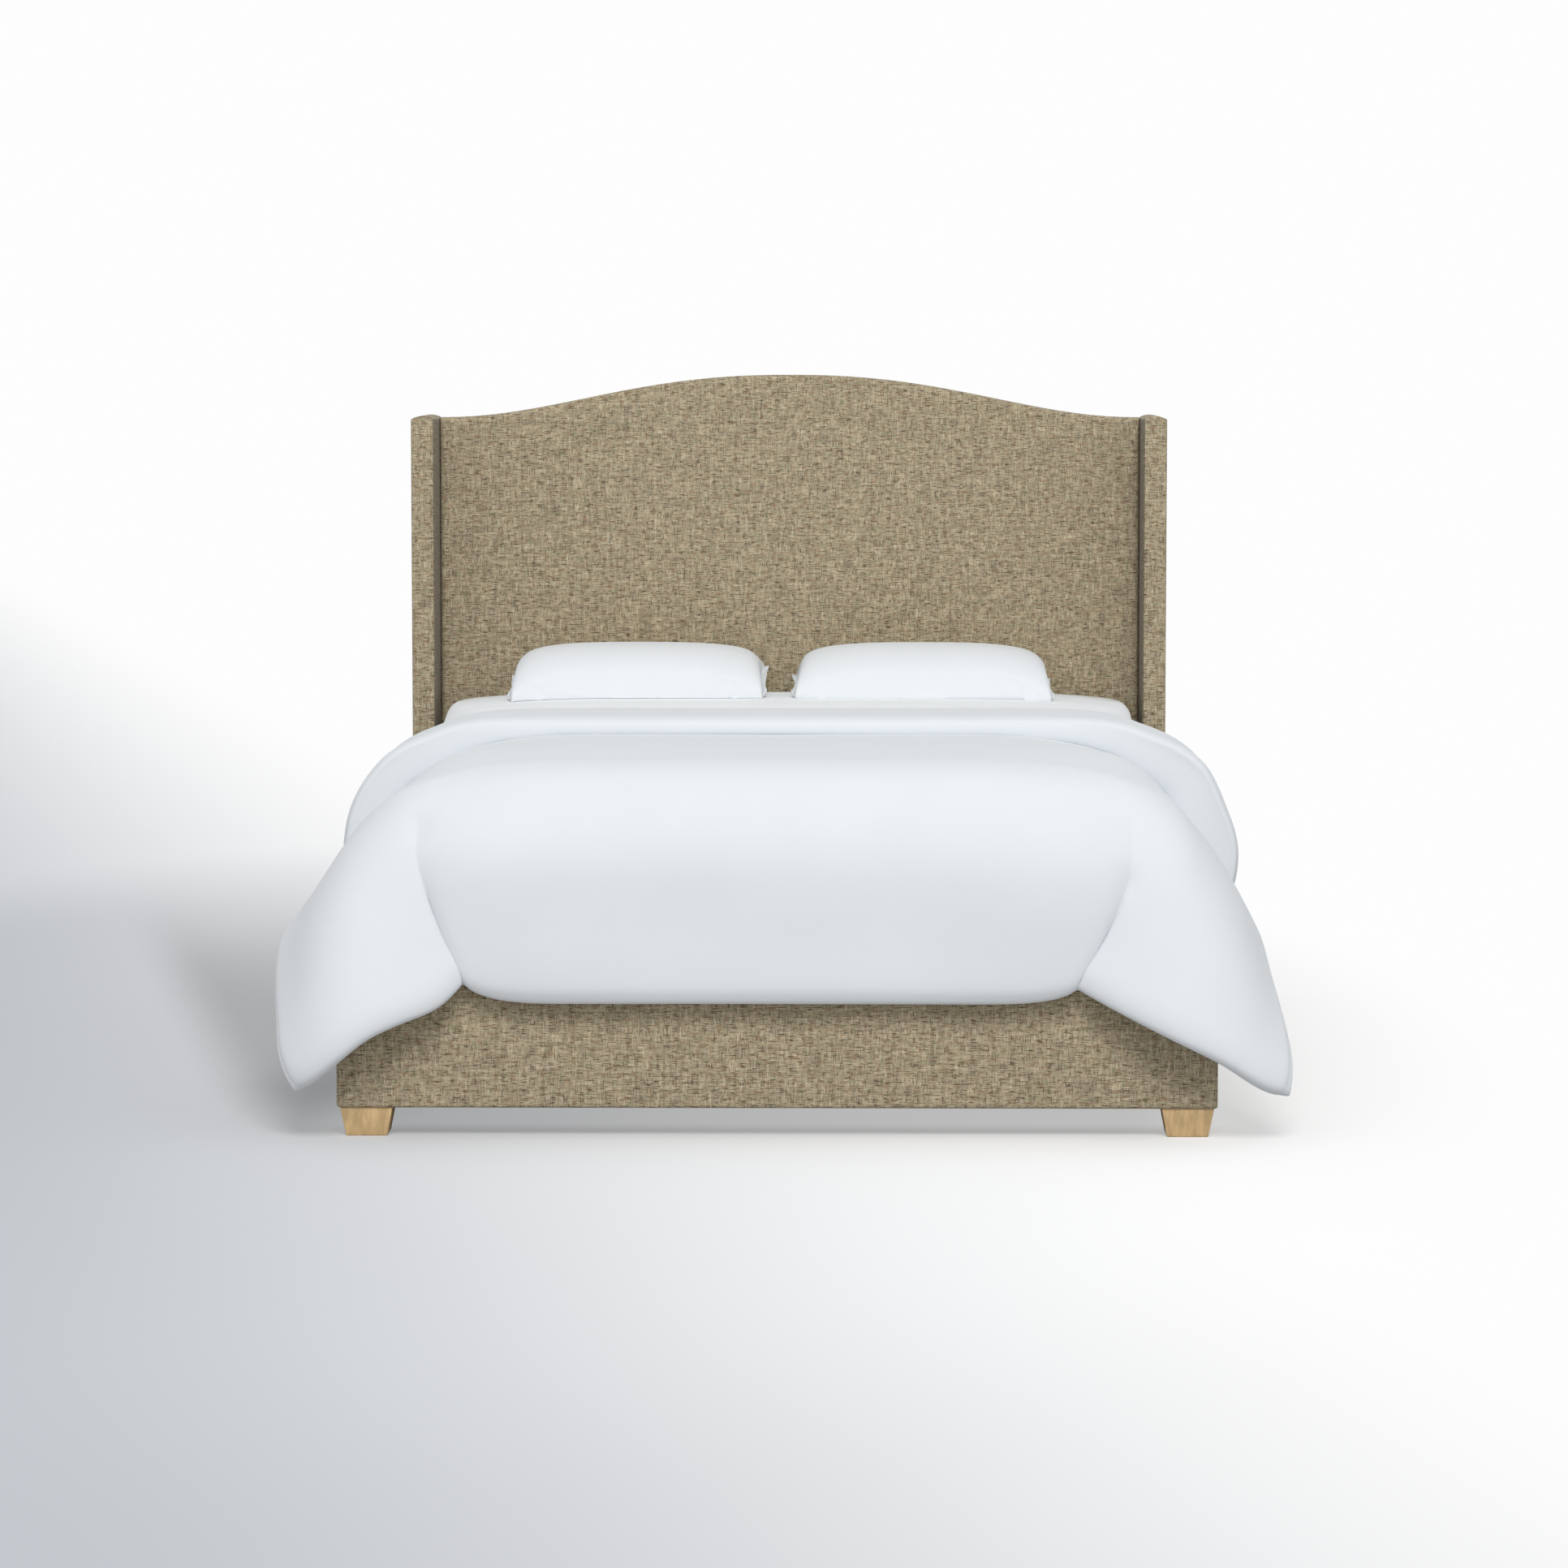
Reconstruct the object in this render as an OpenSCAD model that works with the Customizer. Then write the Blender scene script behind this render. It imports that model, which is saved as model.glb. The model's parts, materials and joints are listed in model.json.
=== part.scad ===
// Upholstered wingback bed with a camel-back headboard, block legs and its bedding.
// Millimetres. +Z is up, the floor is Z = 0, the foot end is towards -Y and the head towards +Y.
// Every physical piece is one module, and one line at the end draws it.

/* [Mattress and sheet] */
// Width of the mattress
mattress_w = 1524; // [1370:2:1540]
// Length of the mattress
mattress_l = 2032; // [1900:2:2040]
// Thickness of the mattress
mattress_h = 275; // [200:5:320]
// Radius of the mattress's upright corners
mattress_r = 90; // [40:5:120]
// Radius of the mattress's top edges under the duvet
mattress_edge = 150; // [100:5:155]
// Radius of the mattress's top edges at its head
mattress_edge_head = 24; // [14:2:60]
// Thickness of the fitted sheet
sheet_t = 2; // [1:0.5:4]
// Height of the sheet's hem above the underside of the mattress
sheet_hem = 18; // [5:1:60]

/* [Foundation] */
// Height of the foundation under the mattress
foundation_h = 190; // [120:5:230]
// Thickness of the foundation's cover
ticking_t = 2; // [1:0.5:4]
// Height of the foundation's timber base
base_h = 60; // [40:2:80]
// Width of each board of the timber base
base_board_w = 44; // [30:2:70]
// Number of cross boards in the timber base
base_crosses = 4; // [2:1:6]

/* [Bed frame] */
// Gap from the mattress to each side rail
mattress_gap = 10.5; // [8:0.5:20]
// Height of the block legs
leg_h = 55; // [40:1:90]
// Width and depth of a leg at its top
leg_top = 98; // [80:1:110]
// Width and depth of a leg at its foot
leg_foot = 77; // [60:1:90]
// Inset of a leg from the faces of the frame
leg_inset = 6; // [0:1:12]
// Height of the side rails and the footboard
rail_h = 300; // [260:5:330]
// Thickness of the side rails and the footboard with their padding
rail_t = 50; // [44:1:54]
// Thickness of the boards inside the rails
rail_board_t = 25; // [18:1:28]
// Thickness of the cover on the inner face of a rail
rail_inner_pad = 5; // [2:1:8]
// Thickness of padding and cover on the top of a rail
rail_top_pad = 12; // [6:1:20]
// Gap from the footboard to the mattress
foot_gap = 10; // [5:1:14]
// Gap from the mattress to the headboard
head_gap = 18; // [10:1:36]

/* [Headboard] */
// Height of the crown of the headboard above the floor
crown_z = 1404; // [1250:1:1500]
// Rise of the crown above the shoulders
crown_rise = 96; // [40:1:140]
// First power of the camel curve
camel_p = 2.3; // [1.8:0.1:3]
// Second power of the camel curve
camel_q = 2.3; // [1.8:0.1:3]
// Depth of the headboard from face to back
head_t = 100; // [90:1:120]
// Thickness of the headboard's cover with its batting
cover_t = 4; // [2:0.5:6]
// Thickness of the foam on the headboard
head_foam_t = 35; // [20:1:40]
// Thickness of the plywood panel
panel_t = 12; // [9:1:15]
// Thickness of the cloth on the back
back_cloth_t = 2; // [1:0.5:3]
// Width of each post in the headboard
post_w = 45; // [40:1:60]
// Height of each cross rail in the headboard
cross_h = 70; // [50:1:90]
// Steps along the camel curve
camel_steps = 44; // [24:2:60]

/* [Wings] */
// How far a wing stands out past the side of the frame
wing_over = 19.5; // [16:0.5:26]
// Thickness of a wing
wing_t = 52; // [48:1:58]
// How far a wing stands out from the headboard's face
wing_out = 156; // [120:1:180]
// Height of the wing's crown below the shoulder of the headboard
wing_drop = -9; // [-20:1:20]
// Height of the low crown across a wing's top
wing_crown = 8; // [4:1:12]
// Steps across a wing's crown
crown_steps = 10; // [6:2:16]
// Radius on the front edges of a wing
wing_nose_r = 17; // [10:1:20]
// Thickness of a wing's cover
wing_cover_t = 3; // [2:0.5:4]
// Thickness of the board in a wing
wing_board_t = 25; // [18:1:28]

/* [Slat deck] */
// Height of the slats' upper face above the floor
deck_z = 205; // [195:1:215]
// Thickness of a slat
slat_t = 18; // [14:1:22]
// Width of a slat
slat_w = 68; // [50:1:90]
// Number of slats
slat_n = 13; // [9:1:15]
// Width of the ledger that carries the slats
ledger_w = 30; // [24:1:40]
// Height of the ledger
ledger_h = 30; // [24:1:32]
// Gap from a slat's end to the side rail
slat_gap = 5; // [2:1:8]
// Gap from the first and last slat to the frame
slat_end_gap = 40; // [20:2:80]
// Width of a webbing strap under the slats
strap_w = 30; // [20:1:40]
// Thickness of a webbing strap
strap_t = 1.5; // [1:0.5:2.5]
// Distance of each strap from the middle of the bed
strap_x = 420; // [250:10:560]
// Radius of a slat screw's shank
screw_r = 2; // [1.5:0.1:2.5]
// Radius of a slat screw's head
screw_head_r = 4; // [3:0.1:5]
// Depth of a slat screw's head
screw_head_h = 2.4; // [2:0.1:3]
// Length of a slat screw
screw_l = 36; // [28:1:40]

/* [Centre beam] */
// Width of the centre beam
beam_w = 45; // [38:1:60]
// Height of the centre beam
beam_h = 70; // [60:1:80]
// Thickness of the beam hangers
hanger_t = 3; // [2:0.5:4]
// Length of the seat of a beam hanger
hanger_l = 50; // [40:1:70]
// Width of each flange of a beam hanger
hanger_flange = 28; // [24:1:40]
// Number of legs under the beam
centre_legs = 3; // [3:1:3]
// Height of a centre leg's end above the floor
centre_leg_z = 26; // [22:1:32]

/* [Leveller feet] */
// Radius of a leveller's pad
pad_r = 16; // [12:1:20]
// Height of a leveller's pad
pad_h = 10; // [8:1:14]
// Radius of a leveller's screw
stud_r = 4; // [3:0.5:5]
// Length of a leveller's screw
stud_l = 46; // [40:1:52]
// Radial clearance of the screw in its nut
stud_clear = 0.06; // [0.03:0.01:0.1]
// Radius of the nut's barrel
nut_r = 6.5; // [6:0.5:8]
// Length of the nut's barrel
nut_l = 14; // [10:1:18]
// Radius of the nut's flange
nut_flange_r = 12; // [10:1:14]
// Thickness of the nut's flange
nut_flange_t = 1.6; // [1.2:0.2:2.4]

/* [Brackets and bolts] */
// Thickness of the corner brackets
bracket_t = 4; // [3:0.5:5]
// Length of a corner bracket's leaf
bracket_l = 70; // [60:1:90]
// Height of a corner bracket
bracket_h = 80; // [70:1:84]
// Height of the brackets' lower edge above the frame's underside
bracket_z = 15; // [10:1:16]
// Overlap of a head bracket along the side rail
bracket_lap = 95; // [80:1:140]
// Radius of a bolt's shank
bolt_r = 4; // [3:0.5:5]
// Width across the corners of a bolt's head, halved
bolt_head_r = 7.5; // [7:0.5:9]
// Height of a bolt's head
bolt_head_h = 5.3; // [4:0.1:6.5]
// Radial clearance of a bolt in its hole
bolt_clear = 0.3; // [0.2:0.1:0.6]
// Gap from a head bolt to the other leaf of its bracket
head_bolt_off = 6; // [5:1:8]
// Distance of a wing bolt from the nearest cross rail
wing_bolt_off = 110; // [60:5:160]
// Depth that a bolt bites into a board
bolt_bite = 18; // [12:1:20]
// Depth that a leg's bolt goes into the leg
leg_bolt_down = 35; // [20:1:36]
// Depth that a leg's bolt goes into the frame
leg_bolt_up = 60; // [40:1:80]

/* [Duvet] */
// Thickness of the duvet where it lies on the mattress
duvet_t = 24; // [16:1:50]
// Thickness of the duvet where it hangs
hang_t = 55; // [40:1:70]
// Gap between the hanging duvet and the frame
hang_gap = 4; // [2:1:10]
// Height of the duvet's hem across the foot
foot_hem_z = 256; // [200:2:320]
// Height of the duvet's hem along the sides
side_hem_z = 340; // [280:2:420]
// How far in from its outer face the duvet begins to turn down along the sides
edge_reach = 254; // [230:2:270]
// Height over which it turns down along the sides
edge_drop = 246; // [220:2:260]
// How far in from its outer face the duvet begins to turn down at the foot
foot_edge_reach = 219; // [200:1:240]
// Height over which it turns down at the foot
foot_edge_drop = 196; // [180:2:230]
// Distance from the footboard's face to the duvet's head end
duvet_l = 1180; // [1000:10:1500]
// Length of the turned-back band
fold_l = 330; // [200:10:450]
// Height of the turned-back band above the duvet
fold_t = 26; // [15:1:50]
// How far the turned-back band stands out at each side
fold_out = 34; // [10:1:50]
// Height of an ear's tip above the floor
ear_z = 96; // [70:1:160]
// How far an ear's tip stands out from the side of the frame
ear_out = 115; // [70:1:130]
// How far an ear's hems swell out between its crease, its tip and the side
ear_swell = 50; // [20:2:60]
// How far an ear leans forward of the hanging duvet
ear_lean = 24; // [10:1:50]
// Distance of an ear's crease from the side of the frame
ear_crease_in = 222.5; // [142.5:10:322.5]
// Distance along the side that an ear reaches
ear_back = 420; // [300:10:600]

/* [Pillows] */
// Width of a pillow
pillow_w = 570; // [480:5:600]
// Depth of a pillow
pillow_d = 400; // [320:5:420]
// Thickness of a pillow at its middle
pillow_h = 138; // [100:1:180]
// Radius of a pillow's corners
pillow_r = 26; // [20:1:36]
// Thickness of a pillowcase
case_t = 2.5; // [1.5:0.5:4]
// Distance from the middle of the bed to the left pillow's middle
pillow_left_x = 334; // [316:1:360]
// Distance from the middle of the bed to the right pillow's middle
pillow_right_x = 297; // [292:1:360]
// Gap from a pillow to the headboard
pillow_gap = 24; // [10:1:60]

/* [Hidden] */
$fn = 48;
// Draws one piece, or all of them
// A soft curved face stands this far off its neighbour
soft_gap = 0.3;
// Cuts run this far past a face
eps = 1;

// Free length from the footboard's inner face to the headboard's face
clear_l = foot_gap + mattress_l + head_gap;
// Width over the footboard and the side rails
frame_w = mattress_w + 2 * (mattress_gap + rail_t);
// Width over the two wings
wings_w = frame_w + 2 * wing_over;

// Depth of the hanging duvet in front of the footboard's face
hang_reach = hang_gap + hang_t;
// How far the foremost soft edge stands in front of the footboard's face
front_reach = hang_reach + ear_lean;
// Overall length of the bed without its duvet
bed_l = rail_t + clear_l + head_t;
// The whole part is centred on Y = 0
foot_y = front_reach - (bed_l + front_reach) / 2;
foot_in_y = foot_y + rail_t;
head_y = foot_in_y + clear_l;
back_y = head_y + head_t;
wing_y = head_y - wing_out;

// Side rails
rail_x = frame_w / 2;
ear_crease_x = rail_x - ear_crease_in;
rail_in_x = rail_x - rail_t;
rail_board_x = rail_in_x + rail_inner_pad;
rail_top_z = leg_h + rail_h;
side_l = wing_y - foot_in_y;

// Wings and headboard
wing_x = wings_w / 2;
wing_in_x = wing_x - wing_t;
shoulder_z = crown_z - crown_rise;
wing_top_z = shoulder_z - wing_drop;
wing_edge_z = wing_top_z - wing_crown;
wing_foam_t = (wing_t - wing_board_t) / 2 - wing_cover_t;
panel_y = head_y + cover_t + head_foam_t;
post_y = panel_y + panel_t;
post_d = back_y - back_cloth_t - post_y;
post_x = wing_in_x - cover_t - post_w / 2;
post_mid_y = post_y + post_d / 2;
post_top_z = shoulder_z - cross_h;
cross_l = 2 * post_x - post_w;

// Slat deck and centre beam
slat_z = deck_z - slat_t;
ledger_z = slat_z - ledger_h;
ledger_x = rail_in_x - ledger_w;
slat_l = 2 * (rail_in_x - slat_gap);
slat_first_y = foot_in_y + slat_end_gap;
slat_last_y = head_y - slat_end_gap - slat_w;
slat_step = (slat_last_y - slat_first_y) / (slat_n - 1);
beam_z = slat_z - beam_h;
centre_leg_step = clear_l / (centre_legs + 1);

// Foundation, mattress and sheet
mattress_y = foot_in_y + foot_gap;
foundation_z = deck_z;
mattress_z = foundation_z + foundation_h;
mattress_top_z = mattress_z + mattress_h;
sheet_top_z = mattress_top_z + sheet_t;

// Brackets
bracket_low_z = leg_h + bracket_z;
bolt_rows = [bracket_h / 4, bracket_h * 3 / 4];
bolt_hole_r = bolt_r + bolt_clear;
rail_bolt_l = bracket_t + rail_inner_pad + bolt_bite;
head_bolt_l = bracket_t + post_y - head_y + bolt_bite;
foot_leaf_mid = bracket_l / 2;
head_bolt_x = rail_in_x - bracket_t - bolt_head_r - head_bolt_off;
cross_mid_z = (leg_h + post_top_z) / 2;
wing_bolt_z = [leg_h + cross_h + wing_bolt_off, cross_mid_z - wing_bolt_off,
               post_top_z - cross_h - wing_bolt_off];
wing_bolt_grip = post_w + cover_t + wing_cover_t + wing_foam_t;

// Legs
leg_front_x = rail_x - leg_inset - leg_top / 2;
leg_front_y = foot_y + leg_inset + leg_top / 2;
leg_rear_x = wing_x - leg_inset - leg_top / 2;
leg_rear_y = back_y - leg_top / 2 - (head_t - leg_top) / 2;
foot_board_y = foot_in_y - rail_inner_pad - rail_board_t;
leg_bolt_front_y = foot_board_y + rail_board_t / 2;

// Duvet
duvet_z = sheet_top_z;
duvet_top_z = duvet_z + duvet_t;
duvet_x = rail_x + hang_gap + hang_t / 2;
drape_x = rail_x + hang_gap;
fold_top_z = duvet_top_z + fold_t;
fold_y = foot_y + duvet_l - fold_l;
hang_low = hang_t / 2;
foot_lap_y = foot_y + ear_back;
foot_out_y = foot_y - hang_reach;

// Soft corner of the duvet, as the lines round the middle of its thickness
ear_cells = 12;
ear_seam_x = ear_crease_x - soft_gap - 8;
ear_mid_y = foot_y - hang_gap - hang_low;
ear_mid_x = (duvet_x + drape_x) / 2;
ear_mid_z = duvet_z + duvet_t / 2;
ear_hem = [ear_seam_x, ear_mid_y, foot_hem_z + hang_low / 2];
ear_tip = [rail_x + ear_out - ear_swell / 4, ear_mid_y - ear_lean, ear_z + hang_low / 8];
ear_end = [ear_mid_x, foot_lap_y + 8, side_hem_z + hang_low / 2];
ear_front_line = [for (t = [0:1/8:1]) ear_hem * (1 - t) + ear_tip * t
    + ear_swell * sin(180 * t) * [0, -1, 0.4]];
ear_side_line = [for (t = [0:1/8:1]) ear_tip * (1 - t) + ear_end * t
    + ear_swell * sin(180 * t) * [0.9, 0, 1.3]];
ear_rear_line = concat(
    [for (q = edge_curve(ear_seam_x, ear_mid_x, ear_mid_z, duvet_top_z - edge_drop))
        [q[0], foot_lap_y + 8, q[1]]], [ear_end]);
ear_crease_line = concat([ear_hem],
    [for (q = reverse(edge_curve(foot_out_y + foot_edge_reach, ear_mid_y, ear_mid_z,
                                 duvet_top_z - foot_edge_drop))) [ear_seam_x, q[0], q[1]]],
    [[ear_seam_x, foot_lap_y + 8, ear_mid_z]]);
ear_front = evenly(ear_front_line, ear_cells);
ear_side = evenly(ear_side_line, ear_cells);
ear_rear = evenly(ear_rear_line, ear_cells);
ear_crease = evenly(ear_crease_line, ear_cells);

// Pillows
pillow_y = head_y - pillow_gap - pillow_d / 2;
pillow_z = sheet_top_z + soft_gap;

// A line that turns from level at (x0, z0) to upright at (x1, z1)
function edge_curve(x0, x1, z0, z1) = [for (t = [0:7.5:90])
    [x0 + (x1 - x0) * pow(sin(t), 1.14), z1 + (z0 - z1) * pow(cos(t), 1.14)]];

function reverse(line) = [for (k = [len(line) - 1:-1:0]) line[k]];

// Length of a line from its point k on, the point at a distance d along it, and points evenly along it
function line_length(line, k = 0) =
    k >= len(line) - 1 ? 0 : norm(line[k + 1] - line[k]) + line_length(line, k + 1);
function line_point(line, d, k = 0) = let(step = norm(line[k + 1] - line[k]))
    k >= len(line) - 2 || d <= step ? line[k] + (line[k + 1] - line[k]) * (d / step)
    : line_point(line, d - step, k + 1);
function evenly(line, n) = [for (k = [0:n]) line_point(line, line_length(line) * k / n)];

// Height of the headboard's edge at a distance x from its middle, less an inset
function camel(x, inset) = shoulder_z - inset
    + crown_rise * pow(1 - pow(min(1, abs(x) / wing_in_x), camel_p), camel_q);

// Outline of the headboard between -w and w from height low up to the curve
function camel_outline(w, low, inset) = concat(
    [[-w, low], [w, low]],
    [for (i = [camel_steps:-1:0]) let (x = w * (2 * i / camel_steps - 1)) [x, camel(x, inset)]]);

// Colours
FABRIC = [0.62, 0.56, 0.45];
LEG_WOOD = [0.83, 0.68, 0.46];
TIMBER = [0.78, 0.66, 0.48];
PLYWOOD = [0.74, 0.62, 0.44];
FOAM = [0.93, 0.89, 0.72];
STEEL = [0.62, 0.63, 0.65];
BLACK = [0.12, 0.12, 0.13];
LINEN = [0.93, 0.94, 0.95];
TICKING = [0.86, 0.86, 0.84];

// Helpers

// A box standing on its low corner, given by its two ends
module span(a, b) {
    translate(a) cube(b - a);
}

// A plate of the headboard's outline, t thick, with its front face at y
module camel_plate(y, t, w, low, inset) {
    translate([0, y + t, 0])
        rotate([90, 0, 0])
            linear_extrude(t)
                polygon(camel_outline(w, low, inset));
}

// A rectangle centred on the origin with round corners
module soft_rect(w, l, r) {
    square([w - 2 * r, l], center = true);
    square([w, l - 2 * r], center = true);
    for (sx = [-1, 1], sy = [-1, 1])
        translate([sx * (w / 2 - r), sy * (l / 2 - r)])
            circle(r);
}

// A block with round upright corners, its low middle at p
module soft_block(p, w, l, h, r) {
    translate(p)
        linear_extrude(h)
            soft_rect(w, l, r);
}

// A shape and its mirror image on the other side of the bed
module both_sides() {
    children();
    mirror([1, 0, 0]) children();
}

// A round bar along X from p, l long towards +X
module bar_x(p, r, l) {
    translate(p) rotate([0, 90, 0]) cylinder(r = r, h = l);
}

// A round bar along Y from p, l long towards +Y
module bar_y(p, r, l) {
    translate(p) rotate([-90, 0, 0]) cylinder(r = r, h = l);
}

// Side 1 is the right half of the bed and side -1 the left half
module on_side(side) {
    if (side > 0) children();
    else mirror([1, 0, 0]) children();
}

// Headboard

// Holes that the wing bolts need through the right post, or a bolt's own body
module wing_bolt_bars(r, l) {
    for (z = wing_bolt_z)
        bar_x([post_x - post_w / 2, post_mid_y, z], r, l);
}

// Holes that the head brackets' bolts need, on the right
module head_bolt_holes() {
    for (z = bolt_rows)
        bar_y([head_bolt_x, head_y - bracket_t - eps, bracket_low_z + z], bolt_hole_r,
              head_bolt_l + eps + bolt_clear);
}

module leg_bolt_rear_hole() {
    translate([post_x, post_mid_y, leg_h - leg_bolt_down - bolt_clear])
        cylinder(r = bolt_hole_r, h = leg_bolt_down + leg_bolt_up + 2 * bolt_clear);
}

module headboard_post(side) {
    color(TIMBER) on_side(side) difference() {
        span([post_x - post_w / 2, post_y, leg_h],
             [post_x + post_w / 2, post_y + post_d, post_top_z]);
        wing_bolt_bars(bolt_hole_r, post_w + eps);
        head_bolt_holes();
        leg_bolt_rear_hole();
    }
}

module headboard_cross(z) {
    color(TIMBER)
        span([-cross_l / 2, post_y, z], [cross_l / 2, post_y + post_d, z + cross_h]);
}

module headboard_panel() {
    color(PLYWOOD) difference() {
        camel_plate(panel_y, panel_t, wing_in_x - cover_t, leg_h, cover_t);
        both_sides() head_bolt_holes();
    }
}

module headboard_foam() {
    color(FOAM) difference() {
        camel_plate(head_y + cover_t, head_foam_t, wing_in_x - cover_t, leg_h, cover_t);
        both_sides() head_bolt_holes();
    }
}

module headboard_cover() {
    color(FABRIC) difference() {
        camel_plate(head_y, head_t - back_cloth_t, wing_in_x, leg_h, 0);
        camel_plate(head_y + cover_t, head_t, wing_in_x - cover_t, leg_h - eps, cover_t);
        both_sides() head_bolt_holes();
        both_sides() wing_bolt_bars(bolt_hole_r, post_w + cover_t + eps);
    }
}

module headboard_back_cloth() {
    color(BLACK) camel_plate(back_y - back_cloth_t, back_cloth_t, wing_in_x, leg_h, 0);
}

// Wings

// The form of a right wing drawn in by an inset on every face but the low one
module wing_form(inset, low) {
    r = wing_nose_r - inset;
    half = wing_t / 2 - inset;
    edge_z = wing_edge_z - inset;
    crown = [for (i = [crown_steps:-1:0]) let (u = 2 * i / crown_steps - 1)
        [half * u, edge_z + wing_crown * (1 - pow(u, 2))]];
    intersection() {
        translate([wing_x - wing_t / 2, back_y - inset, 0])
            rotate([90, 0, 0])
                linear_extrude(back_y - wing_y - 2 * inset)
                    polygon(concat([[-half, low], [half, low]], crown));
        translate([wing_x - wing_t / 2, 0, low - eps])
            linear_extrude(wing_top_z)  {
                translate([-half, wing_y + inset + r])
                    square([2 * half, back_y - wing_y - 2 * inset - r]);
                translate([r - half, wing_y + inset])
                    square([2 * (half - r), back_y - wing_y - 2 * inset]);
                for (sx = [-1, 1])
                    translate([sx * (half - r), wing_y + inset + r]) circle(r);
            }
    }
}

// Space of the board inside the right wing
module wing_board_form(low) {
    inset = wing_cover_t + wing_foam_t;
    span([wing_in_x + inset, wing_y + inset, low],
         [wing_x - inset, back_y - inset, wing_edge_z - inset]);
}

module wing_bolt_holes() {
    wing_bolt_bars(bolt_hole_r, wing_bolt_grip + bolt_bite + bolt_clear);
}

module wing_board(side) {
    color(PLYWOOD) on_side(side) difference() {
        wing_board_form(leg_h);
        wing_bolt_holes();
    }
}

module wing_foam(side) {
    color(FOAM) on_side(side) difference() {
        wing_form(wing_cover_t + soft_gap, leg_h);
        wing_board_form(leg_h - eps);
        wing_bolt_holes();
    }
}

module wing_cover(side) {
    color(FABRIC) on_side(side) difference() {
        wing_form(0, leg_h);
        wing_form(wing_cover_t, leg_h - eps);
        wing_bolt_holes();
    }
}

module wing_bolts() {
    color(STEEL) both_sides() {
        wing_bolt_bars(bolt_r, wing_bolt_grip + bolt_bite);
        for (z = wing_bolt_z)
            translate([post_x - post_w / 2 - bolt_head_h, post_mid_y, z])
                rotate([0, 90, 0]) cylinder(r = bolt_head_r, h = bolt_head_h, $fn = 6);
    }
}

// Side rails and footboard

// Bolts through the foot brackets: along X into the right rail
module rail_bolt_bars(y, r, l) {
    for (z = bolt_rows)
        bar_x([rail_in_x - bracket_t, y, bracket_low_z + z], r, l);
}

module foot_bolt_bars(r, l) {
    for (z = bolt_rows)
        translate([rail_in_x - foot_leaf_mid, foot_in_y + bracket_t, bracket_low_z + z])
            rotate([90, 0, 0]) cylinder(r = r, h = l);
}

module side_bolt_holes() {
    hole_l = rail_bolt_l + bolt_clear;
    rail_bolt_bars(foot_in_y + foot_leaf_mid, bolt_hole_r, hole_l);
    rail_bolt_bars(wing_y - bracket_lap / 2, bolt_hole_r, hole_l);
}

module side_rail_board(side) {
    color(TIMBER) on_side(side) difference() {
        span([rail_board_x, foot_in_y, leg_h],
             [rail_board_x + rail_board_t, wing_y, rail_top_z - rail_top_pad]);
        side_bolt_holes();
    }
}

module side_rail_cover(side) {
    color(FABRIC) on_side(side) difference() {
        span([rail_in_x, foot_in_y, leg_h], [rail_x, wing_y, rail_top_z]);
        span([rail_board_x, foot_in_y - eps, leg_h - eps],
             [rail_board_x + rail_board_t, wing_y + eps, rail_top_z - rail_top_pad]);
        side_bolt_holes();
    }
}

module leg_bolt_front_hole() {
    translate([leg_front_x, leg_bolt_front_y, leg_h - leg_bolt_down - bolt_clear])
        cylinder(r = bolt_hole_r, h = leg_bolt_down + leg_bolt_up + 2 * bolt_clear);
}

// Space of the board inside the footboard
module footboard_form(low) {
    end = rail_t / 2;
    span([end - rail_x, foot_board_y, low],
         [rail_x - end, foot_board_y + rail_board_t, rail_top_z - rail_top_pad]);
}

module footboard_holes() {
    both_sides() {
        foot_bolt_bars(bolt_hole_r, rail_bolt_l + bolt_clear);
        leg_bolt_front_hole();
    }
}

module footboard_board() {
    color(TIMBER) difference() {
        footboard_form(leg_h);
        footboard_holes();
    }
}

module footboard_cover() {
    color(FABRIC) difference() {
        span([-rail_x, foot_y, leg_h], [rail_x, foot_in_y, rail_top_z]);
        footboard_form(leg_h - eps);
        footboard_holes();
    }
}

// Slat deck

module ledger(side) {
    color(TIMBER) on_side(side) difference() {
        span([ledger_x, foot_in_y, ledger_z], [rail_in_x, head_y, slat_z]);
        slat_screw_bars(screw_r, slat_z - slat_t);
    }
}

// Screws along the right ledger, from height low up to the slats' upper face
module slat_screw_bars(r, low) {
    for (i = [0:slat_n - 1])
        translate([ledger_x + ledger_w / 2, slat_first_y + i * slat_step + slat_w / 2, low])
            cylinder(r = r, h = deck_z - low);
}

module slat_screw_heads(r) {
    for (i = [0:slat_n - 1])
        translate([ledger_x + ledger_w / 2, slat_first_y + i * slat_step + slat_w / 2,
                   deck_z - screw_head_h])
            cylinder(r = r, h = screw_head_h);
}

module slats() {
    color(TIMBER) difference() {
        for (i = [0:slat_n - 1])
            span([-slat_l / 2, slat_first_y + i * slat_step, slat_z],
                 [slat_l / 2, slat_first_y + i * slat_step + slat_w, deck_z]);
        both_sides() {
            slat_screw_bars(screw_r, slat_z - eps);
            slat_screw_heads(screw_head_r);
        }
    }
}

module slat_screws() {
    color(STEEL) both_sides() {
        slat_screw_bars(screw_r, deck_z - screw_l);
        slat_screw_heads(screw_head_r);
    }
}

module slat_straps() {
    color(BLACK) both_sides()
        span([strap_x - strap_w / 2, slat_first_y, slat_z - strap_t],
             [strap_x + strap_w / 2, slat_last_y + slat_w, slat_z]);
}

// Centre beam and its feet

module centre_beam() {
    color(TIMBER)
        span([-beam_w / 2, foot_in_y + hanger_t, beam_z],
             [beam_w / 2, head_y - hanger_t, slat_z]);
}

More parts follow.
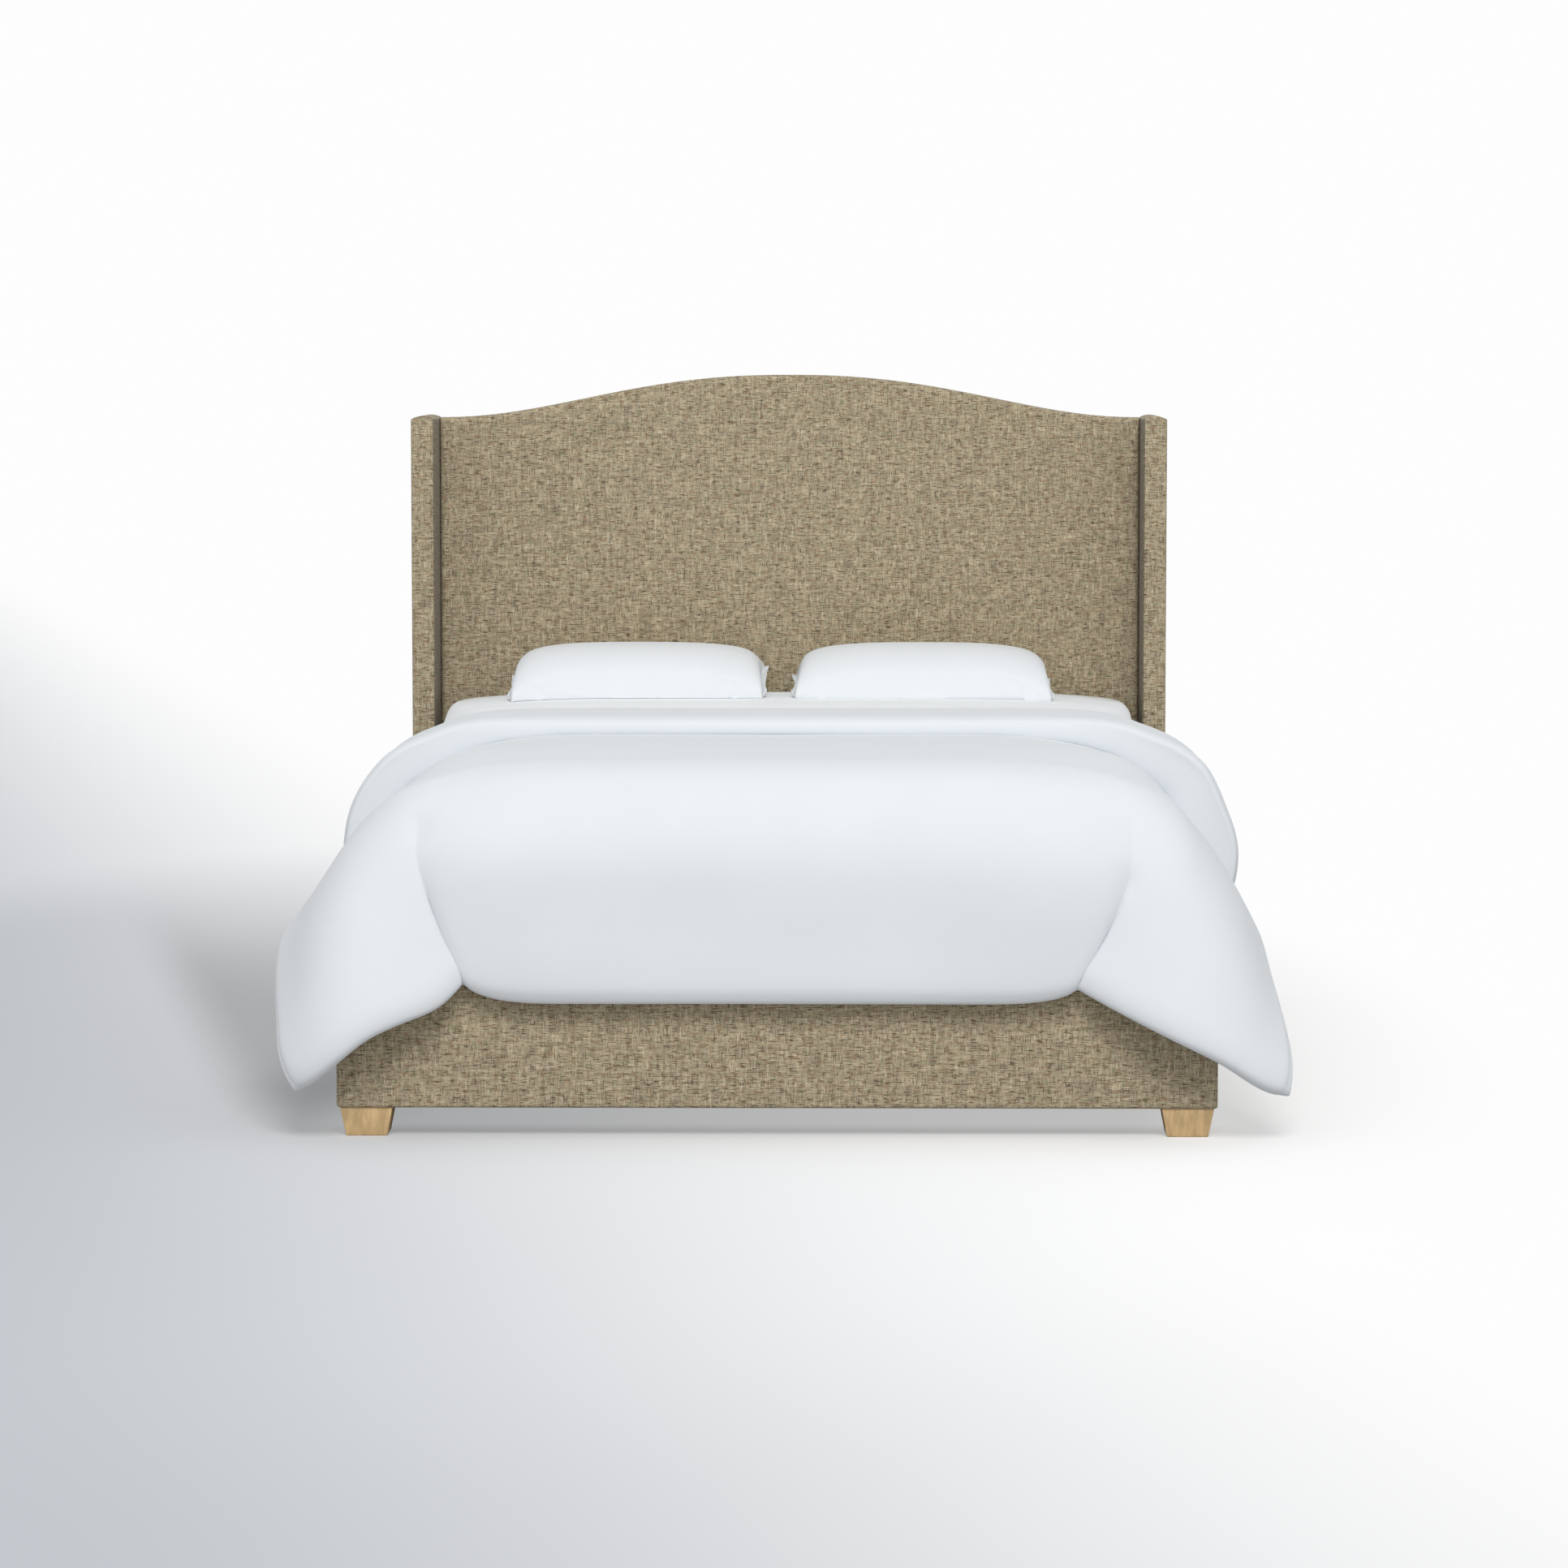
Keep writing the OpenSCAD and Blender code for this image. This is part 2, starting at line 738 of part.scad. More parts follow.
// A saddle with its back at the origin, opening towards +Y
module hanger_form() {
    w = beam_w / 2;
    span([-w - hanger_t - hanger_flange, 0, 0], [w + hanger_t + hanger_flange, hanger_t, beam_h]);
    span([-w - hanger_t, 0, -hanger_t], [w + hanger_t, hanger_l, 0]);
    both_sides() span([w, 0, -hanger_t], [w + hanger_t, hanger_l, beam_h]);
}

module beam_hanger_foot() {
    color(STEEL) translate([0, foot_in_y, beam_z]) hanger_form();
}

module beam_hanger_head() {
    color(STEEL) translate([0, head_y, beam_z]) mirror([0, 1, 0]) hanger_form();
}

// Middle of centre leg number i along the bed
function centre_leg_y(i) = foot_in_y + i * centre_leg_step;

module centre_leg(i) {
    color(TIMBER) translate([0, centre_leg_y(i), 0]) difference() {
        span([-beam_w / 2, -beam_w / 2, centre_leg_z], [beam_w / 2, beam_w / 2, beam_z]);
        translate([0, 0, centre_leg_z - eps]) cylinder(r = nut_r, h = nut_l + eps);
        translate([0, 0, centre_leg_z]) cylinder(r = stud_r + 1, h = stud_l);
    }
}

module leveller_nuts() {
    color(STEEL)
        for (i = [1:centre_legs])
            translate([0, centre_leg_y(i), centre_leg_z]) difference() {
                union() {
                    cylinder(r = nut_r, h = nut_l);
                    translate([0, 0, -nut_flange_t]) cylinder(r = nut_flange_r, h = nut_flange_t);
                }
                translate([0, 0, -nut_flange_t - eps])
                    cylinder(r = stud_r + stud_clear, h = nut_l + nut_flange_t + 2 * eps);
            }
}

module leveller(i) {
    color(BLACK) translate([0, centre_leg_y(i), 0]) {
        cylinder(r = pad_r, h = pad_h);
        translate([0, 0, pad_h - eps]) cylinder(r = stud_r, h = stud_l + eps);
    }
}

// Brackets and bolts

module bracket_foot(side) {
    color(STEEL) on_side(side) difference() {
        translate([0, 0, bracket_low_z]) {
            span([rail_in_x - bracket_t, foot_in_y, 0],
                 [rail_in_x, foot_in_y + bracket_l, bracket_h]);
            span([rail_in_x - bracket_l, foot_in_y, 0],
                 [rail_in_x, foot_in_y + bracket_t, bracket_h]);
        }
        rail_bolt_bars(foot_in_y + foot_leaf_mid, bolt_hole_r, bracket_t + eps);
        foot_bolt_bars(bolt_hole_r, bracket_t + eps);
    }
}

module bracket_head(side) {
    color(STEEL) on_side(side) difference() {
        translate([0, 0, bracket_low_z]) {
            span([rail_in_x - bracket_t, wing_y - bracket_lap, 0], [rail_in_x, head_y, bracket_h]);
            span([rail_in_x - bracket_l, head_y - bracket_t, 0], [rail_in_x, head_y, bracket_h]);
        }
        rail_bolt_bars(wing_y - bracket_lap / 2, bolt_hole_r, bracket_t + eps);
        head_bolt_holes();
    }
}

module bolt_head() {
    cylinder(r = bolt_head_r, h = bolt_head_h, $fn = 6);
}

module bracket_bolts() {
    color(STEEL) both_sides() {
        for (y = [foot_in_y + foot_leaf_mid, wing_y - bracket_lap / 2]) {
            rail_bolt_bars(y, bolt_r, rail_bolt_l);
            for (z = bolt_rows)
                translate([rail_in_x - bracket_t - bolt_head_h, y, bracket_low_z + z])
                    rotate([0, 90, 0]) bolt_head();
        }
        foot_bolt_bars(bolt_r, rail_bolt_l);
        for (z = bolt_rows) {
            translate([rail_in_x - foot_leaf_mid, foot_in_y + bracket_t, bracket_low_z + z])
                rotate([-90, 0, 0]) bolt_head();
            bar_y([head_bolt_x, head_y - bracket_t, bracket_low_z + z], bolt_r, head_bolt_l);
            translate([head_bolt_x, head_y - bracket_t, bracket_low_z + z])
                rotate([90, 0, 0]) bolt_head();
        }
    }
}

// Legs

// A block tapered on all four sides, its top at leg_h and its middle at p
module leg_block(p) {
    a = leg_top / 2;
    b = leg_foot / 2;
    outline = [[-b, 0], [b, 0], [a, leg_h], [-a, leg_h]];
    translate(p) intersection() {
        translate([0, a, 0]) rotate([90, 0, 0]) linear_extrude(2 * a) polygon(outline);
        translate([-a, 0, 0]) rotate([90, 0, 90]) linear_extrude(2 * a) polygon(outline);
    }
}

module leg_front(side) {
    color(LEG_WOOD) on_side(side) difference() {
        leg_block([leg_front_x, leg_front_y, 0]);
        leg_bolt_front_hole();
    }
}

module leg_rear(side) {
    color(LEG_WOOD) on_side(side) difference() {
        leg_block([leg_rear_x, leg_rear_y, 0]);
        leg_bolt_rear_hole();
    }
}

module leg_bolts() {
    color(STEEL) both_sides()
        for (p = [[leg_front_x, leg_bolt_front_y], [post_x, post_mid_y]])
            translate([p[0], p[1], leg_h - leg_bolt_down])
                cylinder(r = bolt_r, h = leg_bolt_down + leg_bolt_up);
}

// Foundation

module foundation_base() {
    inner_w = mattress_w - 2 * ticking_t;
    inner_l = mattress_l - 2 * ticking_t;
    y0 = mattress_y + ticking_t;
    step = (inner_l - base_board_w) / (base_crosses + 1);
    z0 = foundation_z + ticking_t;
    color(TIMBER) {
        both_sides() span([inner_w / 2 - base_board_w, y0 + mattress_r, z0],
                          [inner_w / 2, y0 + inner_l - mattress_r, z0 + base_h]);
        for (i = [0:base_crosses + 1])
            span([mattress_r - inner_w / 2, y0 + i * step, z0],
                 [inner_w / 2 - mattress_r, y0 + i * step + base_board_w, z0 + base_h]);
    }
}

module foundation_pad() {
    z0 = foundation_z + ticking_t + base_h;
    color(FOAM)
        soft_block([0, mattress_y + mattress_l / 2, z0],
                   mattress_w - 2 * ticking_t, mattress_l - 2 * ticking_t,
                   foundation_h - base_h - 2 * ticking_t, mattress_r - ticking_t);
}

// The ticking wraps the base and the pad, and stays open in the middle underneath
module foundation_cover() {
    mid = [0, mattress_y + mattress_l / 2, foundation_z];
    color(TICKING) difference() {
        soft_block(mid, mattress_w, mattress_l, foundation_h, mattress_r);
        soft_block(mid + [0, 0, ticking_t], mattress_w - 2 * ticking_t,
                   mattress_l - 2 * ticking_t, foundation_h - 2 * ticking_t,
                   mattress_r - ticking_t);
        soft_block(mid - [0, 0, eps], mattress_w - 4 * base_board_w,
                   mattress_l - 4 * base_board_w, ticking_t + 2 * eps, mattress_r);
    }
}

// Mattress and bedding

// An upright post with radius r whose top is rounded with radius e
module soft_post(x, y, r, e, low, top) {
    translate([x, y, low]) cylinder(r = r, h = top - e - low, $fn = 48);
    for (a = [15:15:90])
        translate([x, y, top - e * (1 - sin(a)) - 0.02])
            cylinder(r = max(r - e * (1 - cos(a)), 0.5), h = 0.02, $fn = 48);
}

// A thin slice across the bed with its top edges rounded with radius e
module soft_slice(y, w, e, low, top) {
    arc = [for (a = [0:15:90]) [w - e * (1 - cos(a)), top - e * (1 - sin(a))]];
    translate([0, y, 0]) rotate([90, 0, 0])
        linear_extrude(1, center = true)
            polygon(concat([[-w, low], [w, low]], arc,
                           [for (p = reverse(arc)) [-p[0], p[1]]]));
}

// The mattress's outside, drawn in by an inset, from low to top: soft under the duvet, firmer above
module mattress_form(inset, low, top) {
    w = mattress_w / 2 - inset;
    y0 = mattress_y + inset;
    y1 = mattress_y + mattress_l - inset;
    e0 = mattress_edge - inset;
    e1 = mattress_edge_head - inset;
    r0 = max(mattress_r, mattress_edge) - inset;
    r1 = mattress_r - inset;
    hull() {
        both_sides() soft_post(w - r0, y0 + r0, r0, e0, low, top);
        soft_slice(foot_y + duvet_l, w, e0, low, top);
    }
    hull() {
        soft_slice(foot_y + duvet_l, w, e0, low, top);
        both_sides() soft_post(w - r1, y1 - r1, r1, e1, low, top);
    }
}

module mattress() {
    color(LINEN) mattress_form(sheet_t, mattress_z, mattress_top_z);
}

module fitted_sheet() {
    color(LINEN) difference() {
        mattress_form(0, mattress_z + sheet_hem, sheet_top_z);
        mattress_form(sheet_t, mattress_z, mattress_top_z);
    }
}

// Section across the bed of a drape with half width w and top height top
module drape_section(w, top) {
    low = side_hem_z + hang_low;
    difference() {
        both_sides() {
            polygon(concat([[0, low], [0, top]],
                           edge_curve(w - edge_reach - (w - duvet_x), w, top,
                                      duvet_top_z - edge_drop), [[w, low]]));
            translate([w - hang_low, low]) circle(hang_low);
        }
        both_sides()
            polygon([[-1, side_hem_z - 1], [drape_x, side_hem_z - 1],
                     [drape_x, rail_top_z + hang_t],
                     [mattress_w / 2 + soft_gap, duvet_z - mattress_edge],
                     [mattress_w / 2 - mattress_edge, duvet_z], [-1, duvet_z]]);
    }
}

// A length of the drape along the bed from y0 to y1
module drape(y0, y1, w, top) {
    translate([0, y1, 0]) rotate([90, 0, 0])
        linear_extrude(y1 - y0)
            drape_section(w, top);
}

// The part of the duvet that hangs over the foot between the two creases
module foot_drape() {
    low = foot_hem_z + hang_low;
    face = foot_y - hang_gap;
    translate([-ear_crease_x, 0, 0]) rotate([90, 0, 90])
        linear_extrude(2 * ear_crease_x) {
            polygon(concat(
                edge_curve(foot_out_y + foot_edge_reach, foot_out_y, duvet_top_z,
                           duvet_top_z - foot_edge_drop),
                [[foot_out_y, low], [face, low], [face, rail_top_z + hang_t],
                 [mattress_y - soft_gap, duvet_z - mattress_edge],
                 [mattress_y + mattress_edge, duvet_z],
                 [foot_lap_y + 8, duvet_z], [foot_lap_y + 8, duvet_top_z]]));
            translate([foot_out_y + hang_low, low]) circle(hang_low);
        }
}

// Middle of the soft corner's thickness at the cell corner i across it and k up it
function ear_middle(i, k) = let(u = i / ear_cells, v = k / ear_cells)
    (1 - v) * ear_front[i] + v * ear_rear[i] + (1 - u) * ear_crease[k] + u * ear_side[k]
    - (1 - u) * (1 - v) * ear_front[0] - u * (1 - v) * ear_side[0]
    - (1 - u) * v * ear_rear[0] - u * v * ear_rear[ear_cells];

// Half of its thickness there, set square to it: thin along both hems
function ear_half(i, k) = let(
    a = ear_middle(min(i + 1, ear_cells), k) - ear_middle(max(i - 1, 0), k),
    b = ear_middle(i, min(k + 1, ear_cells)) - ear_middle(i, max(k - 1, 0)),
    n = cross(a, b), t = (k == 0 || i == ear_cells) ? hang_t / 5 : hang_t * 0.8)
    n / norm(n) * t / 2;

// The soft corner: one padded patch that ends in a tip
module ear() {
    m = ear_cells + 1;
    count = m * m;
    points = concat(
        [for (k = [0:ear_cells], i = [0:ear_cells]) ear_middle(i, k) + ear_half(i, k)],
        [for (k = [0:ear_cells], i = [0:ear_cells]) ear_middle(i, k) - ear_half(i, k)]);
    rim = concat([for (i = [0:ear_cells]) i], [for (k = [1:ear_cells]) k * m + ear_cells],
                 [for (i = [ear_cells - 1:-1:0]) ear_cells * m + i],
                 [for (k = [ear_cells - 1:-1:1]) k * m]);
    last = len(rim);
    faces = concat(
        [for (k = [0:ear_cells - 1], i = [0:ear_cells - 1], h = [0, 1]) let(a = k * m + i)
            h == 0 ? [a, a + m, a + 1] : [a + 1, a + m, a + m + 1]],
        [for (k = [0:ear_cells - 1], i = [0:ear_cells - 1], h = [0, 1])
            let(a = k * m + i + count) h == 0 ? [a, a + 1, a + m] : [a + 1, a + m + 1, a + m]],
        [for (j = [0:last - 1], h = [0, 1]) let(a = rim[j], b = rim[(j + 1) % last])
            h == 0 ? [a, b, b + count] : [a, b + count, a + count]]);
    polyhedron(points, faces);
}

module duvet() {
    color(LINEN) difference() {
        union() {
            drape(foot_lap_y, foot_y + duvet_l, duvet_x, duvet_top_z);
            drape(fold_y, foot_y + duvet_l, duvet_x + fold_out, fold_top_z);
            foot_drape();
            both_sides() ear();
        }
        mattress_form(-soft_gap, mattress_z, duvet_z);
        span([-drape_x, foot_y - hang_gap, leg_h],
             [drape_x, foot_lap_y + hang_t, rail_top_z + hang_gap]);
    }
}

// Pillows

// A cushion thick in the middle, its low middle at the origin, drawn in by an inset
module pillow_form(inset) {
    w = pillow_w / 2 - pillow_r;
    d = pillow_d / 2 - pillow_r;
    mid = pillow_h / 2;
    hull() {
        for (sx = [-1, 1], sy = [-1, 1])
            translate([sx * w, sy * d, mid]) sphere(pillow_r - inset, $fn = 28);
        translate([0, 0, inset])
            linear_extrude(pillow_h - 2 * inset)
                soft_rect(0.72 * pillow_w, 0.66 * pillow_d, 2 * pillow_r);
    }
}

module pillow(x) {
    color(LINEN) translate([x, pillow_y, pillow_z]) pillow_form(case_t + soft_gap);
}

// The case is open at the end away from the middle of the bed
module pillowcase(x) {
    slot = pillow_h / 6;
    end = x / abs(x);
    color(LINEN) translate([x, pillow_y, pillow_z]) difference() {
        pillow_form(0);
        pillow_form(case_t);
        span([end * pillow_w / 2 - slot, slot - pillow_d / 2, pillow_h / 2 - slot / 2],
             [end * pillow_w / 2 + slot, pillow_d / 2 - slot, pillow_h / 2 + slot / 2]);
    }
}

// One line draws each piece
headboard_post(-1);  // headboard_post_left
headboard_post(1);  // headboard_post_right
headboard_cross(leg_h);  // headboard_cross_low
headboard_cross(cross_mid_z);  // headboard_cross_mid
headboard_cross(post_top_z - cross_h);  // headboard_cross_top
headboard_panel();
headboard_foam();
headboard_cover();
headboard_back_cloth();
wing_board(-1);  // wing_board_left
wing_board(1);  // wing_board_right
wing_foam(-1);  // wing_foam_left
wing_foam(1);  // wing_foam_right
wing_cover(-1);  // wing_cover_left
wing_cover(1);  // wing_cover_right
wing_bolts();
side_rail_board(-1);  // side_rail_board_left
side_rail_board(1);  // side_rail_board_right
side_rail_cover(-1);  // side_rail_cover_left
side_rail_cover(1);  // side_rail_cover_right
footboard_board();
footboard_cover();
ledger(-1);  // ledger_left
ledger(1);  // ledger_right
slats();
slat_straps();
slat_screws();
centre_beam();
beam_hanger_foot();
beam_hanger_head();
centre_leg(1);  // centre_leg_foot
centre_leg(2);  // centre_leg_mid
centre_leg(3);  // centre_leg_head
leveller_nuts();
leveller(1);  // leveller_foot
leveller(2);  // leveller_mid
leveller(3);  // leveller_head
bracket_foot(-1);  // bracket_foot_left
bracket_foot(1);  // bracket_foot_right
bracket_head(-1);  // bracket_head_left
bracket_head(1);  // bracket_head_right
bracket_bolts();
leg_front(-1);  // leg_front_left
leg_front(1);  // leg_front_right
leg_rear(-1);  // leg_rear_left
leg_rear(1);  // leg_rear_right
leg_bolts();
foundation_base();
foundation_pad();
foundation_cover();
mattress();
fitted_sheet();
duvet();
pillow(-pillow_left_x);  // pillow_left
pillowcase(-pillow_left_x);  // pillowcase_left
pillow(pillow_right_x);  // pillow_right
pillowcase(pillow_right_x);  // pillowcase_right
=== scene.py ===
"""An upholstered wingback bed with a camel-back headboard and its bedding, on its CAD frame."""

import json
import math

import bmesh
import bpy
import numpy as np
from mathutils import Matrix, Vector

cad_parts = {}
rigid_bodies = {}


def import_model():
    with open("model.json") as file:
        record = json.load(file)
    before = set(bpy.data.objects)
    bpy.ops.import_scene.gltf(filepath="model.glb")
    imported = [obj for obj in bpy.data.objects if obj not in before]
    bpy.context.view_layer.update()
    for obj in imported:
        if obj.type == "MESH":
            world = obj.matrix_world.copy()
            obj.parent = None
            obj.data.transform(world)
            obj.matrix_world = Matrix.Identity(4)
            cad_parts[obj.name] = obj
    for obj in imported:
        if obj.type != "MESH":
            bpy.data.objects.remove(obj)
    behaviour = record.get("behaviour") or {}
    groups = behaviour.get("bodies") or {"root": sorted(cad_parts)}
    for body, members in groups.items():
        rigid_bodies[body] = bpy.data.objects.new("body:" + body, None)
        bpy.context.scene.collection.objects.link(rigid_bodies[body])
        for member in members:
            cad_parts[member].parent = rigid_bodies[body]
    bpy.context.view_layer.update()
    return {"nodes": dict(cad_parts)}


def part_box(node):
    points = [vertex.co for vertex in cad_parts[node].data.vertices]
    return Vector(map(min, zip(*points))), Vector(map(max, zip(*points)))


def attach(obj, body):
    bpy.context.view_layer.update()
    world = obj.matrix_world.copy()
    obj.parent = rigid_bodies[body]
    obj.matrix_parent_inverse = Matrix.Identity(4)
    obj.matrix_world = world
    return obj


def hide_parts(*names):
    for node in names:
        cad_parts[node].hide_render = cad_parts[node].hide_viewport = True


bl_info = {
    "name": "Wingback bed",
    "version": (1, 0, 0),
    "blender": (4, 5, 0),
    "location": "View3D > Sidebar > Bed",
    "description": "Builds the visible pieces of an upholstered bed over its CAD frame",
    "category": "Object",
}

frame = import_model()

# Places taken from the CAD frame, in metres
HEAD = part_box("headboard_cover")
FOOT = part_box("footboard_cover")
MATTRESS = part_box("mattress")
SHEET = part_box("fitted_sheet")
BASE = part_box("foundation_cover")
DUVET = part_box("duvet")
FOOT_Y = FOOT[0].y


# ---------------------------------------------------------------- sizes and colours


def length_setting(name, description, default, low, high):
    return bpy.props.FloatProperty(name=name, description=description, default=default, min=low,
                                   max=high, unit="LENGTH")


def colour_setting(name, description, default):
    return bpy.props.FloatVectorProperty(name=name, description=description, default=default,
                                         min=0, max=1, subtype="COLOR")


class CoverSettings(bpy.types.PropertyGroup):
    """Sizes and colours of the upholstery."""

    roll: length_setting(
        "Edge roll", "Radius of the padded edges of the headboard", 0.011, 0.004, 0.02)
    rail_roll: length_setting(
        "Rail roll", "Radius of the edges of the rails and footboard", 0.006, 0.002, 0.012)
    crown: length_setting(
        "Wing crown", "Rise of the low crown across a wing's top", 0.008, 0.0, 0.02)
    cloth: colour_setting("Cloth", "Middle colour of the tweed", (0.372, 0.308, 0.202))
    light_yarn: colour_setting("Light yarn", "Straw yarn in the tweed", (0.560, 0.490, 0.350))
    dark_yarn: colour_setting("Dark yarn", "Brown slubs in the tweed", (0.085, 0.058, 0.034))
    yarn: length_setting("Yarn pitch", "Distance between two yarns", 0.0016, 0.0005, 0.005)


class BeddingSettings(bpy.types.PropertyGroup):
    """Sizes and colours of the mattress, sheet, duvet and pillows."""

    linen: colour_setting(
        "Linen", "Colour of the duvet, sheet and pillowcases", (0.752, 0.781, 0.808))
    sheet_linen: colour_setting("Sheet linen", "Colour of the fitted sheet", (0.880, 0.905, 0.925))
    case_linen: colour_setting("Case linen", "Colour of the pillowcases", (0.790, 0.816, 0.840))
    ticking: colour_setting(
        "Ticking", "Colour of the mattress and foundation covers", (0.640, 0.640, 0.610))
    top_loft: length_setting(
        "Top loft", "Thickness of the duvet where it lies on the mattress", 0.024, 0.01, 0.06)
    skirt_loft: length_setting(
        "Skirt loft", "Thickness of the duvet where it hangs", 0.048, 0.02, 0.08)
    soft_edge: length_setting(
        "Soft edge", "Radius of the mattress's long edges under the duvet", 0.165, 0.03, 0.2)


class WoodSettings(bpy.types.PropertyGroup):
    """Sizes and colours of the legs and the frame's timber."""

    leg: colour_setting("Leg", "Colour of the block legs", (0.800, 0.560, 0.292))
    leg_edge: length_setting("Leg edge", "Width of the soft edge on a leg", 0.0022, 0.0005, 0.006)
    timber: colour_setting("Timber", "Colour of the slats, posts and beam", (0.520, 0.360, 0.200))


class StageSettings(bpy.types.PropertyGroup):
    """Camera, lamps and floor."""

    lens: bpy.props.FloatProperty(
        name="Lens", description="Focal length on a 36 mm sensor", default=117.87, min=20, max=300)
    key: bpy.props.FloatProperty(
        name="Key lamp", description="Power of the large soft lamp over the foot end",
        default=1330.0, min=0, unit="POWER")
    front: bpy.props.FloatProperty(
        name="Front lamp", description="Power of the flat light from the front", default=80.0,
        min=0, unit="POWER")
    sky: bpy.props.FloatProperty(
        name="Room light", description="Strength of the even light of the room", default=0.60,
        min=0, max=3)
    floor: colour_setting("Floor", "Colour of the floor", (0.50, 0.50, 0.51))


# ---------------------------------------------------------------- materials


class Value:
    """What a node puts out. Sums, products and differences of values make maths nodes."""

    def __init__(self, nodes, socket):
        self.nodes, self.socket = nodes, socket

    def __add__(self, other):
        return self.nodes.maths("ADD", self, other)

    def __mul__(self, other):
        return self.nodes.maths("MULTIPLY", self, other)

    def __rsub__(self, other):
        return self.nodes.maths("SUBTRACT", other, self)


class Nodes:
    """A material's node tree, built by short calls."""

    def __init__(self, name, roughness=0.8):
        self.material = bpy.data.materials.new(name)
        self.material.use_nodes = True
        self.tree = self.material.node_tree
        self.shader = self.tree.nodes["Principled BSDF"]
        self.shader.inputs["Roughness"].default_value = roughness
        self.shader.inputs["Specular IOR Level"].default_value = 0.3

    def put(self, socket, value):
        value = value.socket if isinstance(value, Value) else value
        if isinstance(value, bpy.types.NodeSocket):
            self.tree.links.new(value, socket)
        elif value is not None:
            if hasattr(socket.default_value, "__len__") and hasattr(value, "__len__"):
                value = (list(value) + [1.0] * 4)[:len(socket.default_value)]
            socket.default_value = value

    def node(self, kind, out=0, **inputs):
        n = self.tree.nodes.new("ShaderNode" + kind)
        for key, value in inputs.items():
            if key.startswith("_"):
                setattr(n, key[1:], value)
        for key, value in inputs.items():
            if not key.startswith("_"):
                self.put(n.inputs[int(key[1:]) if key[0] == "i" and key[1:].isdigit() else key],
                         value)
        return Value(self, n.outputs[out])

    def maths(self, kind, a, b=None):
        return self.node("Math", _operation=kind, i0=a, i1=b)

    def most(self, a, b):
        return self.maths("MAXIMUM", a, b)

    def sine(self, value, turns):
        return self.maths("SINE", value * turns)

    def xyz(self, vector):
        return [self.node("SeparateXYZ", out=k, Vector=vector) for k in range(3)]

    def shaded(self, colour, shade):
        """The colour, lighter or darker by a share."""
        grey = self.node("CombineXYZ", X=shade, Y=shade, Z=shade)
        return self.blend(1.0, colour, grey, "MULTIPLY")

    def blend(self, factor, a, b, kind="MIX"):
        n = self.tree.nodes.new("ShaderNodeMix")
        n.data_type, n.blend_type = "RGBA", kind
        self.put(n.inputs[0], factor)
        self.put(n.inputs[6], a)
        self.put(n.inputs[7], b)
        return Value(self, n.outputs[2])

    def place(self, kind="Object"):
        return self.node("TexCoord", out=kind)

    def noise(self, vector, scale=1.0, detail=2.0, rough=0.5):
        return self.node("TexNoise", Vector=vector, Scale=scale, Detail=detail, Roughness=rough)

    def fibres(self, vector, scale, detail=2.0, rough=0.5):
        """Noise with a scale of its own along each axis."""
        return self.noise(self.node("Mapping", Vector=vector, Scale=scale), 1.0, detail, rough)

    def band(self, value, low, high):
        n = self.tree.nodes.new("ShaderNodeMapRange")
        n.interpolation_type = "SMOOTHSTEP"
        self.put(n.inputs["Value"], value)
        n.inputs["From Min"].default_value = low
        n.inputs["From Max"].default_value = high
        return Value(self, n.outputs["Result"])

    def bump(self, height, distance, strength=1.0, normal=None):
        return self.node("Bump", Height=height, Distance=distance, Strength=strength,
                         Normal=normal)

    def finish(self, colour, normal=None, **more):
        self.put(self.shader.inputs["Base Color"], colour)
        self.put(self.shader.inputs["Normal"], normal)
        for key, value in more.items():
            self.put(self.shader.inputs[key.replace("_", " ")], value)
        return self.material


def cloth_plane(m):
    """Horizontal and upright distance along the cloth, whichever way its surface faces."""
    x, y, z = m.xyz(m.place())
    nx, ny, nz = m.xyz(m.place("Normal"))
    side, top = (m.maths("GREATER_THAN", m.maths("ABSOLUTE", n), 0.72) for n in (nx, nz))
    across = m.node("Mix", i0=side, i2=x, i3=y)
    up = m.node("Mix", i0=top, i2=z, i3=y)
    return m.node("CombineXYZ", X=across, Y=up, Z=0.0), across, up


